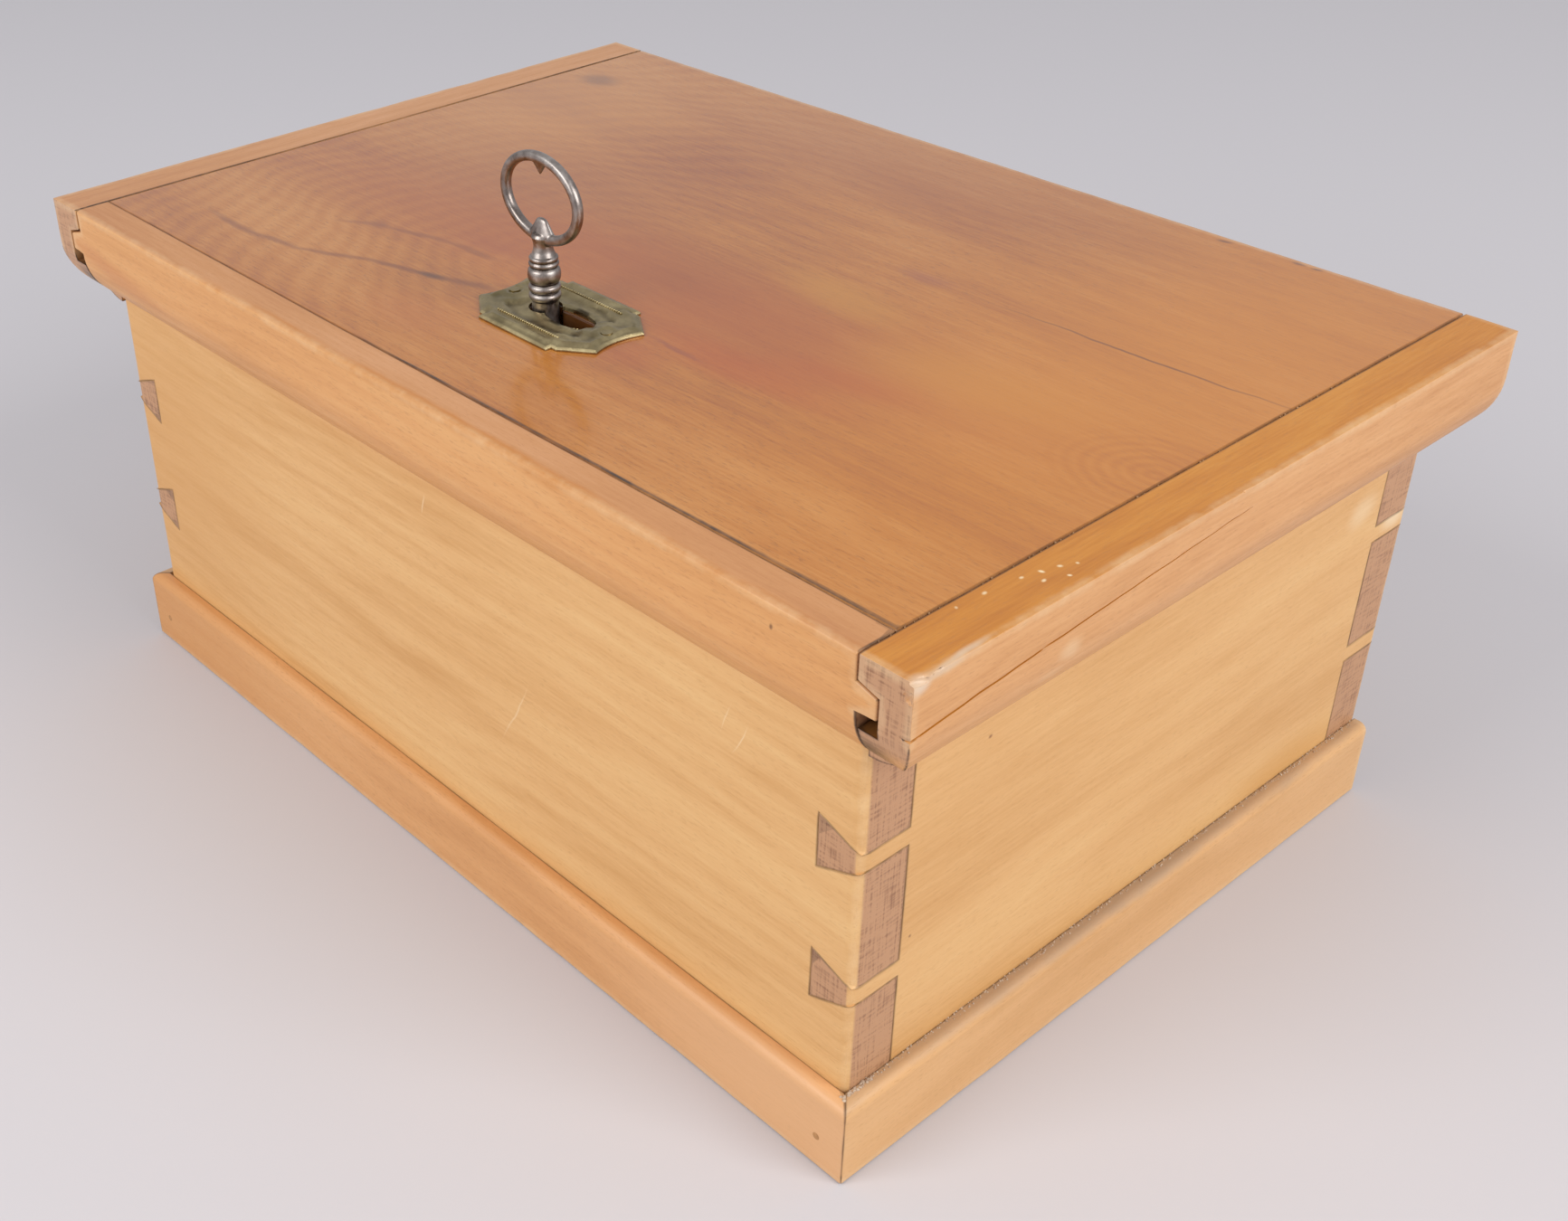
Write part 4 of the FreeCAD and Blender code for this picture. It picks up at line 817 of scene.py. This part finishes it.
def oval_bar(bm, middle, half_length, half_height, bar):
    """The bow: a bar with slightly flattened sides bent into an upright oval."""
    rings = []
    for step in range(BOW_STEPS):
        angle = 2 * math.pi * step / BOW_STEPS
        ring = []
        outward = Vector((math.cos(angle) / half_length, 0, math.sin(angle) / half_height)).normalized()
        centre = Vector((middle[0] + half_length * math.cos(angle), middle[1],
                         middle[2] + half_height * math.sin(angle)))
        for around in range(BAR_STEPS):
            turn = 2 * math.pi * around / BAR_STEPS
            flat = [math.copysign(abs(part) ** 0.8, part) for part in (math.cos(turn), math.sin(turn))]
            place = centre + outward * bar * flat[0] + Vector((0, bar * flat[1], 0))
            ring.append(bm.verts.new(place * MM))
        rings.append(ring)
    for index, ring in enumerate(rings):
        following = rings[(index + 1) % BOW_STEPS]
        for around in range(BAR_STEPS):
            after = (around + 1) % BAR_STEPS
            bm.faces.new((ring[around], ring[after], following[after], following[around]))


# The key's collars from the lowest up: height, and radius between and at the middle of each, in mm.
COLLARS = ((2.0, 3.1, 3.75), (2.0, 3.1, 3.75), (4.1, 2.9, 3.85), (1.25, 2.95, 3.55), (1.25, 2.8, 3.4))


def old_key():
    """The key: hollow shank and bit, turned collars, waisted neck and an oval bow with two inner points."""
    foot, collars, neck = 115.7, LID_TOP + 2.8, LID_TOP + 13.4
    bm = bmesh.new()
    profile = [(0.01, foot + 9), (1.45, foot + 9), (1.45, foot), (2.8, foot), (3.1, foot + 0.3)]
    profile.append((3.1, collars - 0.3))
    start = collars
    for height, inner, outer in COLLARS:
        profile += swell(start, start + height, inner, outer)
        start += height
    profile += [(2.75, neck + 0.3), (2.4, neck + 1.1), (2.2, neck + 2.2), (2.3, neck + 3.2)]
    profile += [(2.7, neck + 4.4), (2.2, neck + 5.2), (0.01, neck + 5.6)]
    lathe(bm, profile, (KEY_X, KEY_Y, 0))
    middle = (KEY_X, KEY_Y, LID_TOP + 26.6)
    oval_bar(bm, middle, 12.55, 9.3, 1.2)
    cusp = [(0.01, -0.9), (3.9, -0.9), (3.3, 0.1), (2.7, 1.0), (2.2, 1.7), (1.8, 2.3), (1.2, 2.75)]
    cusp.append((0.01, 2.95))
    tooth = [(0.01, -1.2), (2.9, -1.2), (2.2, -0.4), (1.5, 0.4), (1.0, 1.1), (0.5, 1.8), (0.01, 2.2)]
    lathe(bm, cusp, (KEY_X, KEY_Y, LID_TOP + 19.2), (1, 0.42), 1)
    lathe(bm, tooth, (KEY_X, KEY_Y, LID_TOP + 34.2), (1, 0.4), -1)
    bit = bmesh.ops.create_cube(bm, size=1.0)["verts"]
    for vertex in bit:
        vertex.co = Vector((KEY_X + 6.9 + vertex.co.x * 9.2, KEY_Y + vertex.co.y * 2.6,
                            foot + 3 + vertex.co.z * 6)) * MM
    bmesh.ops.recalc_face_normals(bm, faces=bm.faces)
    mesh = bpy.data.meshes.new("key_shells")
    bm.to_mesh(mesh)
    bm.free()
    mesh = changed(mesh, "joining", "REMESH", mode="VOXEL", voxel_size=0.2 * MM)
    mesh = changed(mesh, "smoothing", "SMOOTH", factor=0.5, iterations=5)
    set_attribute(mesh, "hollow", hollowness(mesh))
    finish_piece("old_key", mesh, "key", "key_steel", steel, "key")


oval = bmesh.new()
lathe(oval, [(1, LID_TOP - 1), (1, LID_TOP + 4)], (OVAL_X, KEY_Y, 0), OVAL)
plate = worn_copy("escutcheon", "lid", "plate_brass", brass, [
    ((KEY_X - 4.5, KEY_Y - 4.5, LID_TOP), (KEY_X + 15, KEY_Y + 4.5, LID_TOP + 2), 0.2, "seam"),
    (*slab(2, LID_TOP + 0.9, 0.6), 0.2, "arris"),
], cell=0.8, wear=plate_wear, cuts=[cutter("oval_cutter", oval)])
set_attribute(plate.data, "hollow", hollowness(plate.data))
old_key()


# Grains and beads
def grains_tree():
    """Grains strung along a line, each with its own small offset, size and turn."""
    tree = bpy.data.node_groups.new("grains_along_line", "GeometryNodeTree")
    tree.interface.new_socket("Line", in_out="INPUT", socket_type="NodeSocketGeometry")
    for name, kind in (("Spacing", "Float"), ("Grain", "Float"), ("Least", "Float"), ("Scatter", "Vector"),
                       ("Seed", "Int"), ("Material", "Material")):
        tree.interface.new_socket(name, in_out="INPUT", socket_type=f"NodeSocket{kind}")
    tree.interface.new_socket("Grains", in_out="OUTPUT", socket_type="NodeSocketGeometry")
    given = add(tree, "NodeGroupInput").outputs
    line = add(tree, "GeometryNodeMeshToCurve", {"Mesh": given["Line"]})
    line = add(tree, "GeometryNodeResampleCurve", {
        "Curve": line.outputs[0], "Length": given["Spacing"],
    }, mode="LENGTH")
    points = add(tree, "GeometryNodeCurveToPoints", {"Curve": line.outputs[0]}, mode="EVALUATED")
    back = add(tree, "ShaderNodeVectorMath", {0: given["Scatter"], 3: -1.0}, operation="SCALE")
    shift = add(tree, "FunctionNodeRandomValue", {0: back.outputs[0], 1: given["Scatter"], 8: given["Seed"]},
                data_type="FLOAT_VECTOR")
    points = add(tree, "GeometryNodeSetPosition", {
        "Geometry": points.outputs[0], "Offset": shift.outputs[0],
    })
    size = add(tree, "FunctionNodeRandomValue", {
        2: given["Least"], 3: 1.0, 8: given["Seed"],
    }, data_type="FLOAT")
    turn = add(tree, "FunctionNodeRandomValue", {0: (0, 0, 0), 1: (6.3, 6.3, 6.3), 8: given["Seed"]},
               data_type="FLOAT_VECTOR")
    turn = add(tree, "FunctionNodeEulerToRotation", {0: turn.outputs[0]})
    grain = add(tree, "GeometryNodeMeshIcoSphere", {"Radius": given["Grain"], "Subdivisions": 2})
    strung = add(tree, "GeometryNodeInstanceOnPoints", {
        "Points": points.outputs[0], "Instance": grain.outputs[0], "Rotation": turn.outputs[0],
        "Scale": size.outputs[1],
    })
    solid = add(tree, "GeometryNodeRealizeInstances", {"Geometry": strung.outputs[0]})
    solid = add(tree, "GeometryNodeSetMaterial", {
        "Geometry": solid.outputs[0], "Material": given["Material"],
    })
    add(tree, "NodeGroupOutput", {"Grains": solid.outputs[0]})
    return tree


def grains(tree, name, body, slot, material, line, **sizes):
    """String grains along a line in mm; the sizes are the tree's own inputs."""
    mesh = bpy.data.meshes.new(name)
    mesh.from_pydata([Vector(place) * MM for place in line], [(i, i + 1) for i in range(len(line) - 1)], [])
    rough = bpy.data.objects.new(name, mesh)
    bpy.context.collection.objects.link(rough)
    modifier = rough.modifiers.new(name, "NODES")
    modifier.node_group = tree
    sizes["Material"] = material
    for item in tree.interface.items_tree:
        if item.in_out == "INPUT" and item.name in sizes:
            modifier[item.identifier] = sizes[item.name]
    evaluated = rough.evaluated_get(bpy.context.evaluated_depsgraph_get())
    made = bpy.data.meshes.new_from_object(evaluated)
    bpy.data.objects.remove(rough)
    finish_piece(f"{name}_piece", made, body, slot, material)


strung = grains_tree()
grains(strung, "gap_crumbs", "box", "rail_wood", crumbs, [(137.55, -95, 133.7), (137.55, 70, 133.7)],
       Spacing=0.0021, Grain=0.00022, Least=0.3, Scatter=(0.0001, 0.0012, 0.0002), Seed=3)
grains(strung, "mitre_filler", "box", "base_wood", dust, [(135.6, -92.4, 20.9), (135.5, -84.0, 20.95)],
       Spacing=0.00025, Grain=0.0005, Least=0.3, Scatter=(0.0006, 0.0006, 0.0001), Seed=5)
grains(strung, "ledge_dust", "box", "base_wood", dust, [(135.5, -90, 20.95), (135.5, 96, 20.95)],
       Spacing=0.0004, Grain=0.0003, Least=0.3, Scatter=(0.0007, 0.0006, 0.0001), Seed=7)
for sign in (-1, 1):
    grains(strung, "plate_beads", "lid", "plate_brass", brass,
           [(-10.5, KEY_Y + sign * 9.3, 135.3), (10.5, KEY_Y + sign * 9.3, 135.3)],
           Spacing=0.00075, Grain=0.00036, Least=1.0, Scatter=(0, 0, 0), Seed=1)

for name, material in (
    ("bottom_board", bottom_wood), ("escutcheon_pins", brass), ("bolt_spring", steel), ("lock_plate", iron),
    ("lock_case", iron), ("lock_bolt", iron), ("bolt_stud", iron), ("key_pin", iron), ("lock_keeper", iron),
    ("lock_screws", wire), ("keeper_screws", wire), ("plinth_nails", filler), ("rail_nails", wire),
    ("bottom_nails", wire),
):
    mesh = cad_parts[name].data
    for index in range(len(mesh.materials)):
        mesh.materials[index] = material


# Floor, light and camera
CAMERA_ANGLES = (50.03, 33.41, 1.45)
CAMERA_PLACE = (0.30785, -0.29589, 0.31191)
FOCAL_PIXELS = 2081
SHIFT_PIXELS = (197.8, 8.1)
SENSOR = 36
AIM = Vector((0, 0, 0.06))
LAMP_SIZE = 0.9


def studio_floor():
    """A wide sheet of pale grey paper, matt, so that it shows nothing but a soft shadow."""
    material, tree = new_material("pale_paper_sweep")
    shader = add(tree, "ShaderNodeBsdfPrincipled", {"Base Color": "#cbc8cb", "Roughness": 0.9})
    add(tree, "ShaderNodeOutputMaterial", {"Surface": shader.outputs[0]})
    mesh = bpy.data.meshes.new("floor")
    mesh.from_pydata([(-6, -6, 0), (6, -6, 0), (6, 6, 0), (-6, 6, 0)], [], [(0, 1, 2, 3)])
    mesh.materials.append(material)
    floor = bpy.data.objects.new("floor", mesh)
    floor.location.z = -0.0002
    bpy.context.collection.objects.link(floor)


def soft_lamp(name, place, power):
    """A square softbox that faces the middle of the box."""
    data = bpy.data.lights.new(name, "AREA")
    data.shape = "SQUARE"
    data.size = LAMP_SIZE
    data.energy = power
    lamp = bpy.data.objects.new(name, data)
    lamp.location = place
    lamp.rotation_euler = (AIM - Vector(place)).to_track_quat("-Z", "Y").to_euler()
    bpy.context.collection.objects.link(lamp)


def studio_camera():
    """The camera stands off the near right corner and looks down on the lid."""
    azimuth, elevation, roll = (math.radians(angle) for angle in CAMERA_ANGLES)
    data = bpy.data.cameras.new("camera")
    data.sensor_width = SENSOR
    data.lens = SENSOR * FOCAL_PIXELS / PHOTO_WIDTH
    data.shift_x = SHIFT_PIXELS[0] / PHOTO_WIDTH
    data.shift_y = SHIFT_PIXELS[1] / PHOTO_WIDTH
    camera = bpy.data.objects.new("camera", data)
    back = Vector((math.sin(azimuth) * math.cos(elevation), -math.cos(azimuth) * math.cos(elevation),
                   math.sin(elevation)))
    camera.rotation_mode = "QUATERNION"
    camera.rotation_quaternion = back.to_track_quat("Z", "Y") @ Quaternion((0, 0, 1), -roll)
    camera.location = CAMERA_PLACE
    bpy.context.collection.objects.link(camera)
    bpy.context.scene.camera = camera


studio_floor()
soft_lamp("softbox_left", (-0.25, -1.35, 0.95), 14.5)
soft_lamp("softbox_right", (1.35, 0.25, 0.95), 15.5)
world = bpy.data.worlds.new("studio")
world.use_nodes = True
sky = world.node_tree.nodes["Background"].inputs
sky["Color"].default_value = linear("#eeeef2")
sky["Strength"].default_value = 0.65
bpy.context.scene.world = world
bpy.context.scene.view_settings.view_transform = "Standard"
studio_camera()
